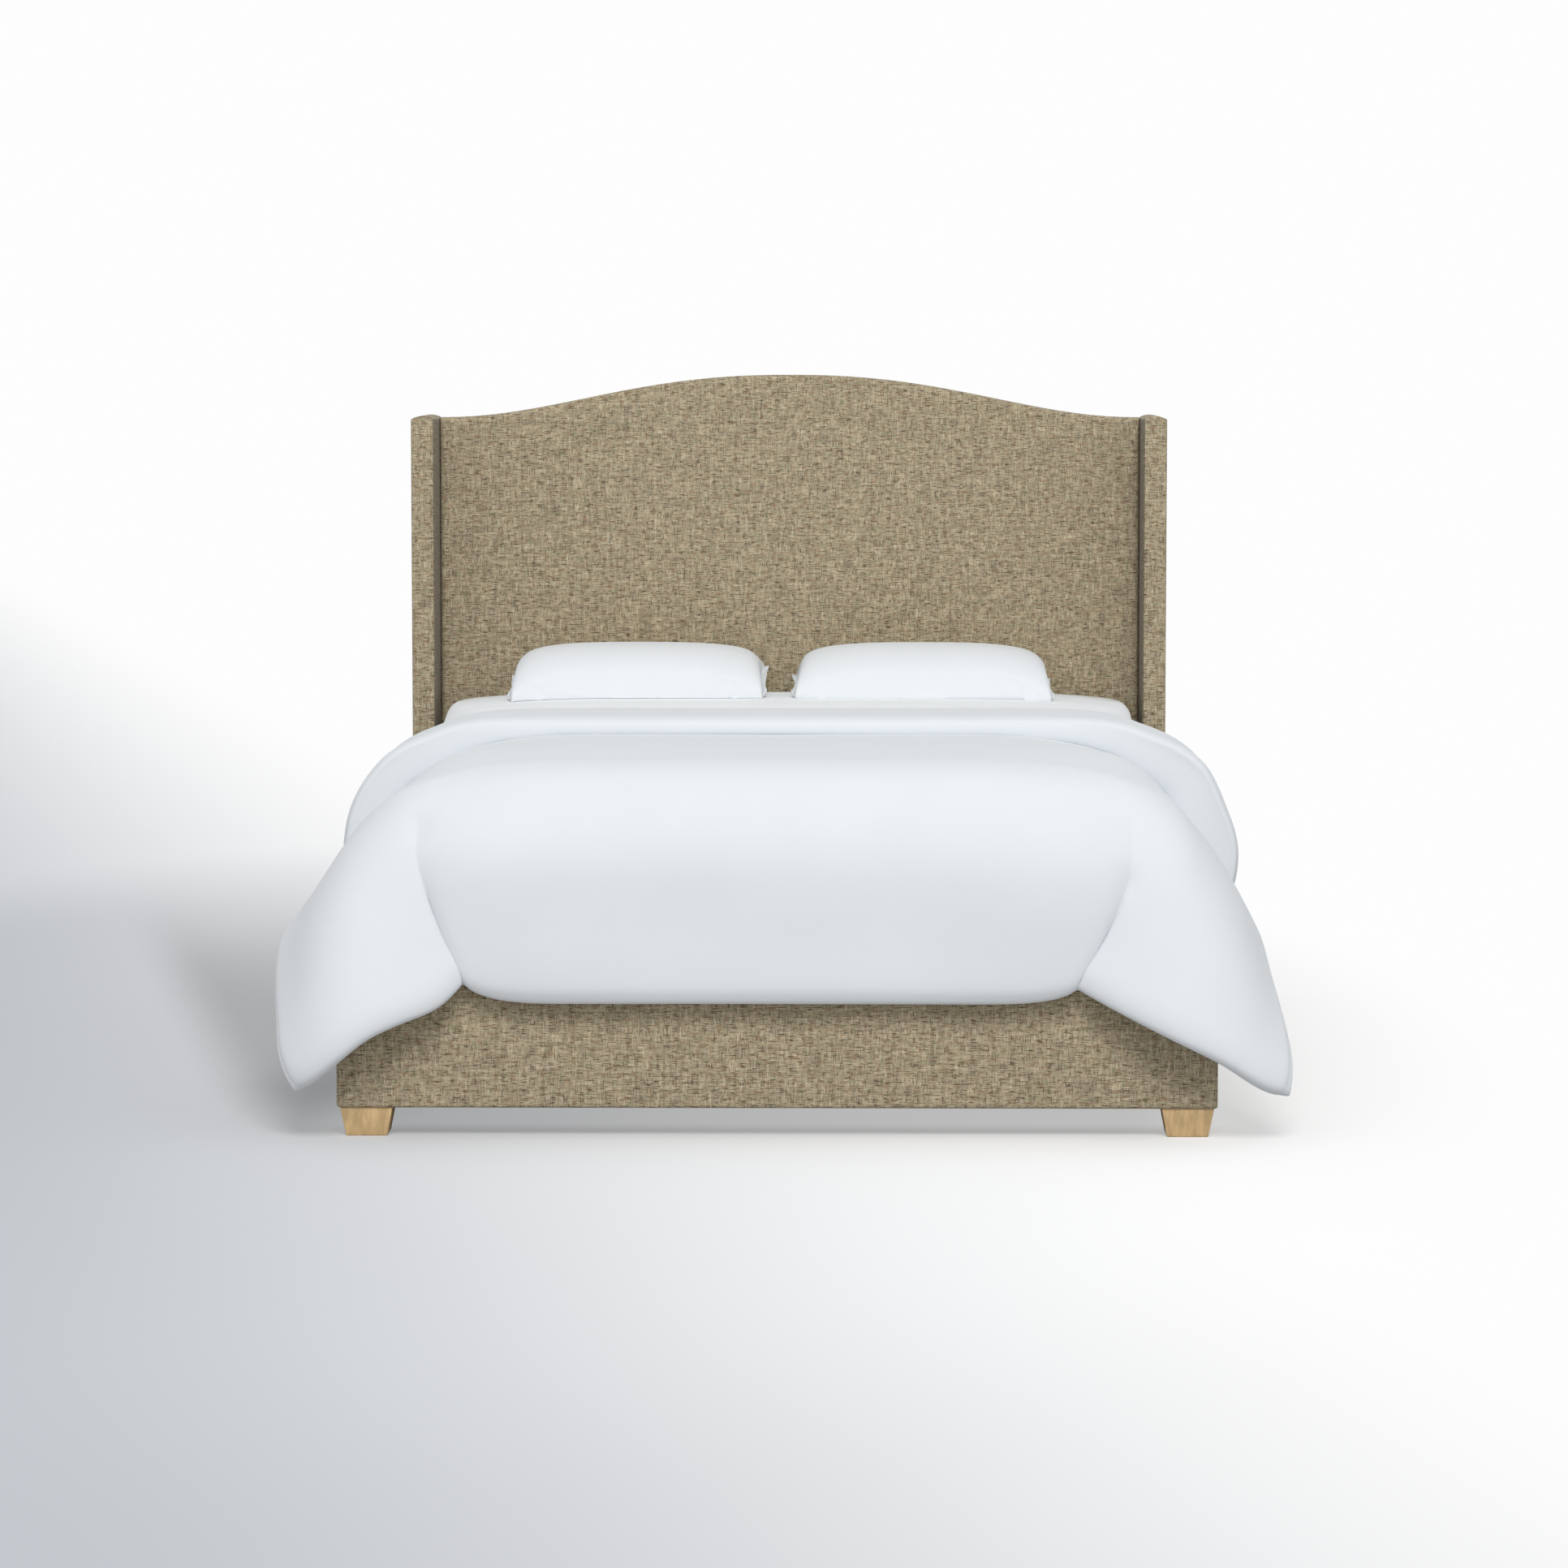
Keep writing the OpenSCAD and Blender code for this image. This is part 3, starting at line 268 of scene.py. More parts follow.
def tweed(s):
    """Linen-look tweed: crossed yarns with straw threads, brown slubs and rust and olive flecks.
    The faces of the wings that look inwards are a shade deeper."""
    m = Nodes("upholstery_tweed", 0.92)
    plane, across, up = cloth_plane(m)
    warp = m.fibres(plane, (500, 34, 1), rough=0.6)
    weft = m.fibres(plane, (38, 490, 1), rough=0.6)
    slub_h = m.fibres(plane, (56, 500, 3), 1.0)
    slub_v = m.fibres(plane, (540, 62, 5), 1.0)
    hatch = m.fibres(plane, (150, 16, 7)) + m.fibres(plane, (18, 140, 8))
    grain = m.noise(plane, 700.0, 1.0)
    patch = m.noise(plane, 9.0)
    light = m.most(m.band(warp, 0.50, 0.63), m.band(weft, 0.53, 0.66))
    rust = m.band(m.fibres(plane, (70, 130, 2)), 0.55, 0.66)
    olive = m.band(m.fibres(plane, (120, 60, 9)), 0.56, 0.68)
    dark = m.most(m.band(slub_h, 0.57, 0.65), m.band(slub_v, 0.61, 0.69))
    colour = m.blend(light * 0.80, s.cloth, s.light_yarn)
    colour = m.blend(rust * 0.55, colour, (0.27, 0.140, 0.075))
    colour = m.blend(olive * 0.45, colour, (0.22, 0.225, 0.115))
    colour = m.blend(dark * 0.85, colour, s.dark_yarn)
    inwards = m.band(m.xyz(m.place())[0] * m.xyz(m.place("Normal"))[0], -0.35, -0.60)
    shade = (hatch * 0.85 + 0.19) * (patch * 0.06 + 0.97) * (grain * 0.7 + 0.65)
    shade = shade * (1.0 - inwards * 0.46)
    turns = math.pi / s.yarn
    height = m.sine(across, turns) * m.sine(up, turns) * 0.35 + (warp + weft)
    return m.finish(m.shaded(colour, shade), m.bump(height, 0.0011, 0.6), Sheen_Weight=0.10,
                    Sheen_Roughness=0.5)


def linen_cloth(name, colour):
    """Plain cotton: a fine percale weave, faint shading in the cloth and a soft sheen."""
    m = Nodes(name, 0.85)
    at = m.place()
    x, y, z = m.xyz(at)
    shade = m.noise(at, 7.0) * 0.035 + 0.982
    weave = m.sine(x, 4200.0) + m.sine(y + z, 4200.0)
    crease = m.bump(m.noise(at, 11.0, 3.0, 0.55), 0.010, 0.10)
    return m.finish(m.shaded(colour, shade), m.bump(weave, 0.00012, 0.25, crease),
                    Sheen_Weight=0.10, Sheen_Roughness=0.6)


def grained_wood(name, colour, upright=False):
    """Straight-grained pale wood, with pores, soft figure and a satin finish."""
    m = Nodes(name, 0.46)
    at = m.place()
    along = (70, 70, 6) if upright else (6, 70, 70)
    rings = m.fibres(at, along, 4.0, 0.6)
    pores = m.fibres(at, [v * 7 for v in along])
    tone = m.blend(m.band(rings, 0.38, 0.68), [c * 0.72 for c in colour], colour)
    tone = m.blend(m.band(pores, 0.60, 0.75) * 0.30, tone, [c * 0.5 for c in colour])
    tone = m.shaded(tone, m.noise(at, 14.0, 3.0) * 0.22 + 0.90)
    return m.finish(tone, m.bump(rings + pores * -0.6, 0.0004, 0.35), Coat_Weight=0.08,
                    Coat_Roughness=0.3)


def layered_board():
    """Plywood with dark glue lines between its veneers."""
    m = Nodes("plywood_board", 0.6)
    at = m.place()
    face = m.fibres(at, (5, 60, 30), 4.0, 0.6)
    tone = m.blend(m.band(face, 0.35, 0.7), (0.36, 0.24, 0.125), (0.52, 0.37, 0.21))
    lines = m.maths("GREATER_THAN", m.sine(m.xyz(at)[1], 2600.0), 0.7)
    tone = m.blend(lines * 0.25, tone, (0.2, 0.12, 0.06))
    return m.finish(tone, m.bump(face, 0.0003, 0.3))


def plated_steel():
    """Zinc-plated steel with a faint rolled grain."""
    m = Nodes("zinc_steel", 0.36)
    at = m.place()
    wear = m.noise(at, 60.0, 4.0, 0.6)
    grain = m.fibres(at, (40, 900, 900))
    tone = m.blend(wear, (0.42, 0.43, 0.45), (0.60, 0.61, 0.62))
    return m.finish(tone, m.bump(grain, 0.00008, 0.4), Metallic=0.9, Roughness=wear * 0.2 + 0.25)


def black_felt():
    """Thin black non-woven cloth, pricked all over."""
    m = Nodes("black_back_cloth", 0.95)
    at = m.place()
    dots = m.node("TexVoronoi", Vector=at, Scale=420.0)
    fibre = m.noise(at, 260.0, 3.0, 0.7)
    tone = m.blend(fibre, (0.012, 0.012, 0.013), (0.040, 0.040, 0.043))
    return m.finish(tone, m.bump(dots + fibre, 0.0005, 0.4), Sheen_Weight=0.1)


def open_foam():
    """Cream upholstery foam with open cells."""
    m = Nodes("cream_foam", 0.95)
    at = m.place()
    cells = m.node("TexVoronoi", Vector=at, Scale=700.0)
    tone = m.blend(m.noise(at, 12.0, 2.0), (0.76, 0.68, 0.42), (0.84, 0.78, 0.54))
    return m.finish(tone, m.bump(cells, 0.0008, 0.5))


def hard_rubber():
    """Black moulded plastic for the levelling pads."""
    m = Nodes("black_pad_plastic", 0.5)
    fine = m.noise(m.place(), 900.0, 2.0)
    tone = m.blend(fine, (0.012, 0.012, 0.014), (0.022, 0.022, 0.025))
    return m.finish(tone, m.bump(fine, 0.0002, 0.3))


def striped_ticking(colour):
    """Woven damask ticking with a narrow self stripe."""
    m = Nodes("woven_ticking", 0.8)
    x, y, z = m.xyz(m.place())
    stripe = m.band(m.sine(x, 300.0), 0.0, 0.4)
    twill = m.sine(x + y + z, 2600.0)
    tone = m.blend(stripe * 0.30, colour, [c * 0.72 for c in colour])
    tone = m.blend(m.band(twill, -0.5, 1.0) * 0.12, tone, [c * 0.8 for c in colour])
    return m.finish(tone, m.bump(twill + stripe, 0.0003, 0.4), Sheen_Weight=0.15)


def pale_floor(colour):
    """The studio floor. To the camera it has a set tone, with a shade left of the bed and under it."""
    m = Nodes("pale_floor", 0.9)
    x, y, z = m.xyz(m.place())
    back = y + -FOOT_Y
    around = m.band(x, -8.0, -4.0) * m.band(y, -8.0, -4.7)
    dim = 1.0 - (1.0 - m.band(x + (y + 3.5) * 0.25, -1.2, 1.3)) * around
    tone = m.blend(dim, (0.555, 0.577, 0.612, 1), (0.985, 0.985, 0.985, 1))
    pool = m.band(x + back * 0.20, -1.05, -0.85) * (1.0 - m.band(back, 2.0, 4.3))
    pool = pool * m.band(back, 0.0, 0.7) * (1.0 - m.band(x, -0.9, -0.6))
    tone = m.shaded(tone, 1.0 - pool * 0.33)
    under = m.band(back, 0.0, 0.2) * (1.0 - m.band(m.maths("ABSOLUTE", x), 0.78, 0.95))
    under = under * (1.0 - m.band(back, 1.9, 2.3))
    wide, deep = (m.maths("POWER", m.maths("DIVIDE", distance, reach), 2.0)
                  for distance, reach in ((x + 0.75, 1.75), (y + -0.2, 3.4)))
    fade = m.band(m.maths("SQRT", wide + deep), 0.85, 1.35)
    m.finish(colour)
    m.shader.inputs["Specular IOR Level"].default_value = 0.0
    lit = m.node("BsdfDiffuse", Color=tone)
    glow = m.node("Emission", Color=tone, Strength=1.0)
    seen = m.node("MixShader", i0=fade * 0.72 + 0.28 + under * 0.22, i1=lit, i2=glow)
    camera_ray = m.node("LightPath", out=0)
    both = m.node("MixShader", i0=camera_ray, i1=m.shader.outputs[0], i2=seen)
    m.put(m.tree.nodes["Material Output"].inputs[0], both)
    return m.material


def dress(nodes, material):
    """Gives CAD nodes a finish in every slot they have."""
    for name in nodes:
        mesh = frame["nodes"][name].data
        if not mesh.materials:
            mesh.materials.append(material)
        for k in range(len(mesh.materials)):
            mesh.materials[k] = material


def finished(piece, material, body, slot, *replaced, fill=None):
    """Last steps for a new piece: its finish, the body it rides on, the node it stands for and
    the share of it that is padding."""
    piece.data.materials.clear()
    piece.data.materials.append(material)
    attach(piece, body)
    if replaced:
        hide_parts(*replaced)


# ---------------------------------------------------------------- modelling steps


def nothing_selected():
    if bpy.context.object and bpy.context.object.mode != "OBJECT":
        bpy.ops.object.mode_set(mode="OBJECT")
    for o in bpy.context.scene.objects:
        o.select_set(False)
    bpy.context.view_layer.objects.active = None


def only(piece):
    nothing_selected()
    piece.select_set(True)
    bpy.context.view_layer.objects.active = piece


def block(name, low, high):
    """A box primitive between two corners."""
    nothing_selected()
    middle = [(a + b) / 2 for a, b in zip(low, high)]
    bpy.ops.mesh.primitive_cube_add(size=1, location=middle)
    piece = bpy.context.object
    piece.name = piece.data.name = name
    piece.scale = [b - a for a, b in zip(low, high)]
    only(piece)
    bpy.ops.object.transform_apply(location=True, rotation=True, scale=True)
    return piece


def choose(piece, kind, test):
    """Selects the edges or faces for which test(middle, direction) is true. Edit mode."""
    bpy.ops.mesh.select_mode(type=kind)
    bpy.ops.mesh.select_all(action="DESELECT")
    shape = bmesh.from_edit_mesh(piece.data)
    shape.normal_update()
    for part in shape.edges if kind == "EDGE" else shape.faces:
        if kind == "EDGE":
            a, b = (v.co for v in part.verts)
            part.select_set(bool(test((a + b) / 2, (b - a).normalized())))
        else:
            part.select_set(bool(test(part.calc_center_median(), part.normal)))
    shape.select_flush_mode()
    bmesh.update_edit_mesh(piece.data)


def edit(piece):
    only(piece)
    bpy.ops.object.mode_set(mode="EDIT")


def leave():
    bpy.ops.object.mode_set(mode="OBJECT")


def cut(piece, axis, cuts):
    """Divides the edges that run along an axis."""
    edit(piece)
    choose(piece, "EDGE", lambda c, d: abs(getattr(d, axis)) > 0.9)
    bpy.ops.mesh.subdivide(number_cuts=cuts)
    leave()


def modifier(piece, kind, **values):
    only(piece)
    step = piece.modifiers.new(kind.lower(), kind)
    for key, value in values.items():
        setattr(step, key, value)
    bpy.ops.object.modifier_apply(modifier=step.name)


def finer(piece):
    modifier(piece, "SUBSURF", levels=1, render_levels=1)


def smooth(piece, degrees=40):
    only(piece)
    bpy.ops.object.shade_smooth_by_angle(angle=math.radians(degrees))


def soft_edges(piece, width, steps=4, degrees=40):
    """Rounds every edge that is sharper than the given angle."""
    modifier(piece, "BEVEL", width=width, segments=steps, limit_method="ANGLE",
             angle_limit=math.radians(degrees), miter_outer="MITER_ARC", use_clamp_overlap=True)
    smooth(piece)


def run_of(points, axis=0):
    """Distance from the first point of a line, or along one axis of a grid."""
    steps = np.linalg.norm(np.diff(points, axis=axis), axis=-1)
    return np.insert(np.cumsum(steps, axis=axis), 0, 0, axis=axis)


def curve(points, count=None, at=None):
    """Points on a smooth line through the given ones, even by length or at given shares."""
    p = np.array(points, float)
    step = np.sqrt(np.linalg.norm(np.diff(p, axis=0), axis=1))
    t = np.concatenate([[0], np.cumsum(step)])
    slope = np.gradient(p, t, axis=0)

    def value(q):
        k = np.clip(np.searchsorted(t, q, side="right") - 1, 0, len(t) - 2)
        h = (t[k + 1] - t[k])[:, None]
        s = ((q - t[k]) / (t[k + 1] - t[k]))[:, None]
        return ((2 * s**3 - 3 * s**2 + 1) * p[k] + (s**3 - 2 * s**2 + s) * h * slope[k]
                + (3 * s**2 - 2 * s**3) * p[k + 1] + (s**3 - s**2) * h * slope[k + 1])

    fine = np.linspace(0, t[-1], 40 * len(p))
    run = run_of(value(fine))
    share = np.linspace(0, 1, count) if at is None else np.array(at, float)
    return value(np.interp(share * run[-1], run, fine))


def ramp(x, a, b):
    s = np.clip((np.asarray(x, float) - a) / (b - a), 0, 1)
    return s * s * (3 - 2 * s)


def grid_normals(grid):
    du = np.gradient(grid, axis=1)
    dv = np.gradient(grid, axis=0)
    n = np.cross(du, dv)
    return n / np.maximum(np.linalg.norm(n, axis=2, keepdims=True), 1e-9)


def new_object(name, data):
    holder = bpy.data.objects.new(name, data)
    bpy.context.scene.collection.objects.link(holder)
    return holder


def mesh_piece(name, points, faces):
    mesh = bpy.data.meshes.new(name)
    mesh.from_pydata([tuple(p) for p in points], [], [tuple(f) for f in faces])
    mesh.validate()
    mesh.update()
    return new_object(name, mesh)


def shell(name, outer, inner):
    """A closed piece between two grids of points, with a wall round their rims."""
    rows, cols = outer.shape[:2]
    points = np.concatenate([outer.reshape(-1, 3), inner.reshape(-1, 3)])
    ids = np.arange(rows * cols).reshape(rows, cols)
    a, b, c, d = ids[:-1, :-1], ids[:-1, 1:], ids[1:, 1:], ids[1:, :-1]
    top = np.stack([a, b, c, d], -1).reshape(-1, 4)
    low = np.stack([d, c, b, a], -1).reshape(-1, 4) + rows * cols
    rim = np.concatenate([ids[0], ids[1:, -1], ids[-1, -2::-1], ids[-2:0:-1, 0]])
    nxt = np.roll(rim, -1)
    wall = np.stack([nxt, rim, rim + rows * cols, nxt + rows * cols], -1)
    piece = mesh_piece(name, points, np.concatenate([top, low, wall]))
    outward(piece)
    return piece


def quilt(name, middle, loft):
    """A closed soft shell about a grid of middle points, loft thick."""
    half = grid_normals(middle) * loft[..., None] / 2
    return shell(name, middle + half, middle - half)


def outward(piece):
    """Makes every face of a closed piece point outwards."""
    edit(piece)
    bpy.ops.mesh.select_all(action="SELECT")
    bpy.ops.mesh.normals_make_consistent(inside=False)
    leave()


def points_of(piece):
    flat = np.empty(len(piece.data.vertices) * 3)
    piece.data.vertices.foreach_get("co", flat)
    return flat.reshape(-1, 3)


def fill_out(piece, voxel, pressure, cap, frames=20):
    """Blows a closed cover up as cloth. No point moves further than cap."""
    modifier(piece, "REMESH", mode="VOXEL", voxel_size=voxel)
    start = points_of(piece)
    cloth = piece.modifiers.new("fill", "CLOTH")
    s = cloth.settings
    s.quality, s.mass, s.air_damping = 6, 0.25, 2.0
    s.tension_stiffness = s.compression_stiffness = 12
    s.shear_stiffness, s.bending_stiffness = 6, 0.6
    s.use_pressure, s.uniform_pressure_force = True, pressure
    s.effector_weights.gravity = 0
    cloth.collision_settings.use_collision = False
    cloth.point_cache.frame_start, cloth.point_cache.frame_end = 1, frames
    for frame_number in range(1, frames + 1):
        bpy.context.scene.frame_set(frame_number)
    only(piece)
    bpy.ops.object.modifier_apply(modifier=cloth.name)
    move = points_of(piece) - start
    length = np.linalg.norm(move, axis=1, keepdims=True)
    move *= np.tanh(length / cap) * cap / np.maximum(length, 1e-9)
    piece.data.vertices.foreach_set("co", (start + move).ravel())
    piece.data.update()
    bpy.context.scene.frame_set(1)


# ---------------------------------------------------------------- headboard and wings


def camel(x):
    """Height of the headboard's edge at a distance x from its middle."""
    top, half = HEAD[1].z, HEAD[1].x
    rise = 0.096
    share = np.clip(np.abs(x) / half, 0, 1)
    return top - rise + rise * (1 - share**2.3) ** 2.3


class BED_OT_headboard(bpy.types.Operator):
    """Upholsters the headboard's front, top and sides in one piece of tweed"""

    bl_idname = "bed.headboard"
    bl_label = "Headboard"

    def execute(self, context):
        s = context.scene.bed_cover
        nothing_selected()
        bpy.ops.mesh.primitive_grid_add(x_subdivisions=96, y_subdivisions=36, size=1)
        piece = context.object
        piece.name = piece.data.name = "headboard_tweed"
        half, low = HEAD[1].x - 0.0006, HEAD[0].z
        for v in piece.data.vertices:
            share = v.co.y + 0.5        # the primitive is 1 m wide about its middle
            v.co.x *= 2 * half
            v.co.z = low + share * (float(camel(v.co.x)) - low)
            v.co.y = HEAD[0].y
        outward(piece)
        away = piece.data.polygons[0].normal.y > 0
        edit(piece)
        bpy.ops.mesh.select_all(action="SELECT")
        if away:
            bpy.ops.mesh.flip_normals()
        bpy.ops.mesh.select_mode(type="EDGE")
        bpy.ops.mesh.select_all(action="DESELECT")
        bpy.ops.mesh.select_non_manifold(extend=False)
        back = HEAD[1].y - HEAD[0].y
        bpy.ops.mesh.extrude_edges_move(TRANSFORM_OT_translate={"value": (0, back, 0)})
        choose(piece, "EDGE", lambda c, d: abs(c.y - HEAD[0].y) < 1e-5 and (
            abs(abs(c.x) - half) < 1e-5 or abs(c.z - low) < 1e-5
            or abs(c.z - float(camel(c.x))) < 2e-3))
        bpy.ops.mesh.bevel(offset=s.roll, segments=5, profile=0.5, affect="EDGES",
                           clamp_overlap=True)
        leave()
        modifier(piece, "SOLIDIFY", thickness=0.0035, offset=-1, use_even_offset=True)
        smooth(piece, 50)
        finished(piece, context.scene["bed_tweed"], "bed_frame", "upholstery", "headboard_cover",
                 fill=0.9)
        dress(["headboard_back_cloth", "slat_straps"], black_felt())
        dress(["headboard_foam", "wing_foam_left", "wing_foam_right"], open_foam())
        return {"FINISHED"}


WING_ROLL = 0.013               # radius of a wing's two upright front edges


class BED_OT_wings(bpy.types.Operator):
    """Upholsters both wings: a flat pad with rolled front edges and a low crowned top"""

    bl_idname = "bed.wings"
    bl_label = "Wings"

    def execute(self, context):
        s = context.scene.bed_cover
        for side, node in ((1, "wing_cover_right"), (-1, "wing_cover_left")):
            low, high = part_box(node)
            edge = high.z - s.crown - 0.003
            piece = block("wing_tweed_" + ("right" if side > 0 else "left"), low,
                          (high.x, high.y, edge))
            middle, half = (low.x + high.x) / 2, (high.x - low.x) / 2
            cut(piece, "x", 15)
            for v in piece.data.vertices:
                share = (v.co.x - middle) / half
                if v.co.z > edge - 1e-5:
                    v.co.z += s.crown * (1 - abs(share) ** 2.2)
            edit(piece)
            choose(piece, "EDGE", lambda c, d: abs(d.z) > 0.9 and abs(c.y - low.y) < 1e-5
                   and abs(abs(c.x - middle) - half) < 1e-5)
            bpy.ops.mesh.bevel(offset=WING_ROLL, segments=7, profile=0.5, affect="EDGES")
            leave()
            soft_edges(piece, width=0.004)
            finished(piece, context.scene["bed_tweed"], "bed_frame", "upholstery", node, fill=0.95)
        return {"FINISHED"}


class BED_OT_rails(bpy.types.Operator):
    """Upholsters the footboard and the two side rails"""

    bl_idname = "bed.rails"
    bl_label = "Footboard and side rails"

    def execute(self, context):
        s = context.scene.bed_cover
        for name, node in (("footboard_tweed", "footboard_cover"),
                           ("side_rail_tweed_left", "side_rail_cover_left"),
                           ("side_rail_tweed_right", "side_rail_cover_right")):
            low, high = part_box(node)
            piece = block(name, low, high)
            cut(piece, "x" if "foot" in name else "y", 40)
            soft_edges(piece, s.rail_roll)
            finished(piece, context.scene["bed_tweed"], "bed_frame", "upholstery", node, fill=0.95)
        return {"FINISHED"}


LEG_TAPER = 0.077 / 0.098       # width of a leg at the floor over its width at the top


class BED_OT_legs(bpy.types.Operator):
    """Makes the four tapered block legs in pale wood"""

    bl_idname = "bed.legs"
    bl_label = "Legs"

    def execute(self, context):
        s = context.scene.bed_wood
        wood = grained_wood("maple_leg", s.leg, upright=True)
        for place in ("front_left", "front_right", "rear_left", "rear_right"):
            low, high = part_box("leg_" + place)
            piece = block("block_leg_" + place, low, high)
            middle = ((low.x + high.x) / 2, (low.y + high.y) / 2, low.z)
            edit(piece)
            choose(piece, "FACE", lambda c, n: n.z < -0.9)
            bpy.ops.transform.resize(value=(LEG_TAPER, LEG_TAPER, 1), center_override=middle)
            leave()
            cut(piece, "z", 3)
            soft_edges(piece, s.leg_edge, 3, 50)
            finished(piece, wood, "bed_frame", "leg_wood", "leg_" + place)
        return {"FINISHED"}


PAD_HEIGHT = 0.0105             # up to where a levelling foot is its plastic pad


class BED_OT_inner_frame(bpy.types.Operator):
    """Gives the posts, slats, beam, brackets, bolts and feet their finishes"""

    bl_idname = "bed.inner_frame"
    bl_label = "Inner frame"

    def execute(self, context):
        s = context.scene.bed_wood
        names = frame["nodes"]
        timber = grained_wood("pine_timber", s.timber)
        upright = grained_wood("pine_post", s.timber, upright=True)
        for starts, material in (
                (("headboard_cross", "ledger", "slats", "centre_beam", "foundation_base",
                  "side_rail_board", "footboard_board"), timber),
                (("headboard_post", "centre_leg"), upright),
                (("headboard_panel", "wing_board"), layered_board()),
                (("bracket", "beam_hanger", "leg_bolts", "wing_bolts", "slat_screws",
                  "leveller_nuts"), plated_steel())):
            dress([n for n in names if n.startswith(starts)], material)
        dress(["foundation_pad"], open_foam())
        pad, stud = hard_rubber(), plated_steel()
        for n in ("leveller_foot", "leveller_mid", "leveller_head"):
            mesh = names[n].data
            dress([n], stud)
            mesh.materials.append(pad)
            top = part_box(n)[0].z + PAD_HEIGHT
            for face in mesh.polygons:
                if all(mesh.vertices[k].co.z < top for k in face.vertices):
                    face.material_index = len(mesh.materials) - 1
        return {"FINISHED"}


# ---------------------------------------------------------------- mattress and foundation


def centre_and_half(low, high):
    """Middle of a box and half of its size."""
    low, high = np.array(low, float), np.array(high, float)
    return (low + high) / 2, (high - low) / 2


def corner_arcs(low, high, plan, steps, out=0.0):
    """The round corners of a box in plan, each as rows of x, y and the direction outwards. plan(y)
    is the corner radius, and out moves the arcs outwards."""
    (cx, cy, _), (hx, hy, _) = centre_and_half(low, high)
    hx, hy = hx + out, hy + out
    arcs = []
    for first, sx, sy in ((-90, 1, -1), (0, 1, 1), (90, -1, 1), (180, -1, -1)):
        r = plan(cy + sy * hy) + out
        a = np.radians(first + np.linspace(0, 90, steps + 1))
        n = np.column_stack([np.cos(a), np.sin(a)])
        arcs.append(np.column_stack([n * r + (cx + sx * (hx - r), cy + sy * (hy - r)), n]))
    return arcs


SIDE_CUTS, END_CUTS = 44, 34     # cuts along a cushion's long sides and across its ends


def cushion_block(name, low, high, plan, edge_low, edge_high, hem=None):
    """A block with round plan corners and round long edges. plan(y) is the corner radius, edge_low
    the radius of the lower edges, edge_high(y) that of the upper ones. hem leaves it open below."""
    (cx, cy, _), (hx, hy, _) = centre_and_half(low, high)
    arcs = corner_arcs(low, high, plan, 8)
    ring = []
    for arc, following in zip(arcs, arcs[1:] + arcs[:1]):
        last, cuts = arc[-1], SIDE_CUTS if abs(arc[-1, 2]) > 0.5 else END_CUTS
        ring += [arc] + [[last + (following[0] - last) * (k / cuts)] for k in range(1, cuts)]
    ring = np.concatenate(ring)
    p, n = ring[:, :2], ring[:, 2:]
    re = np.array([edge_high(y) for y in p[:, 1]])
    levels = []

    def level(inset, z):
        levels.append(np.column_stack([p - n * inset, np.full(len(p), z)]))

    start = hem
    if hem is None:
        for a in np.radians(np.linspace(0, 90, 5)):
            level(edge_low * (1 - math.sin(a)), low[2] + edge_low * (1 - math.cos(a)))
        start = low[2] + edge_low
    for k in range(1 if hem is None else 0, 8):
        level(0, start + (high[2] - re - start) * k / 8)
    for a in np.radians(np.linspace(0, 90, 10)):
        level((re * (1 - math.cos(a)))[:, None], high[2] - re * (1 - math.sin(a)))
    edge = levels[-1]
    spine = np.column_stack([np.full(len(p), cx), np.clip(edge[:, 1], cy - hy + hx * 0.85,
                                                          cy + hy - hx * 0.85)])
    for k in range(1, 15):
        t = k / 14
        xy = edge[:, :2] * (1 - t) + spine * t
        levels.append(np.column_stack([xy, edge[:, 2]]))
    count = len(p)
    points = np.concatenate(levels)
    faces = []
    for k in range(len(levels) - 1):
        a = k * count + np.arange(count)
        b = k * count + np.roll(np.arange(count), -1)
        faces.append(np.stack([a, b, b + count, a + count], -1))
    faces = [tuple(f) for f in np.concatenate(faces)]
    if hem is None:
        faces.append(tuple(range(count - 1, -1, -1)))
    piece = mesh_piece(name, points, faces)
    edit(piece)
    bpy.ops.mesh.select_all(action="SELECT")
    bpy.ops.mesh.remove_doubles(threshold=0.0004)
    leave()
    outward(piece)
    return piece


def edge_radius(foot, head):
    """Radius of the mattress's long edges: soft under the duvet, firmer by the pillows."""
    y0, y1 = DUVET[1].y + 0.05, SHEET[1].y - 0.10

    def value(y):
        return float(foot + (head - foot) * ramp(y, y0, y1))
    return value


def crown_at(x, y):
    """How far the mattress stands up towards its middle, most of all under the pillows."""
    half_width, rise = 0.762, 0.030
    share = np.clip(np.abs(x) / half_width, 0, 1)
    along = ramp(y, 0.10, 0.52) * (1 - 0.36 * ramp(y, 0.80, 1.03))
    return rise * (1 - share ** 6) * along


def raise_crown(piece, top, depth):
    """Lifts the crown and presses the long edges down where the duvet lies on them."""
    pressed = 0.017
    for v in piece.data.vertices:
        x, y, z = v.co
        under_duvet = ramp(z, 0.42, 0.56) * (1 - ramp(y, 0.06, 0.24))
        press = pressed * ramp(abs(x), 0.48, 0.60) * under_duvet
        v.co.z += float(crown_at(x, y) * ramp(z, top - depth, top) - press)


CORNER = (0.172, 0.060)     # corner radius in plan, at the foot and at the head
BASE_CORNER = 0.088         # the same for the foundation
TAPE_RADIUS = 0.0042


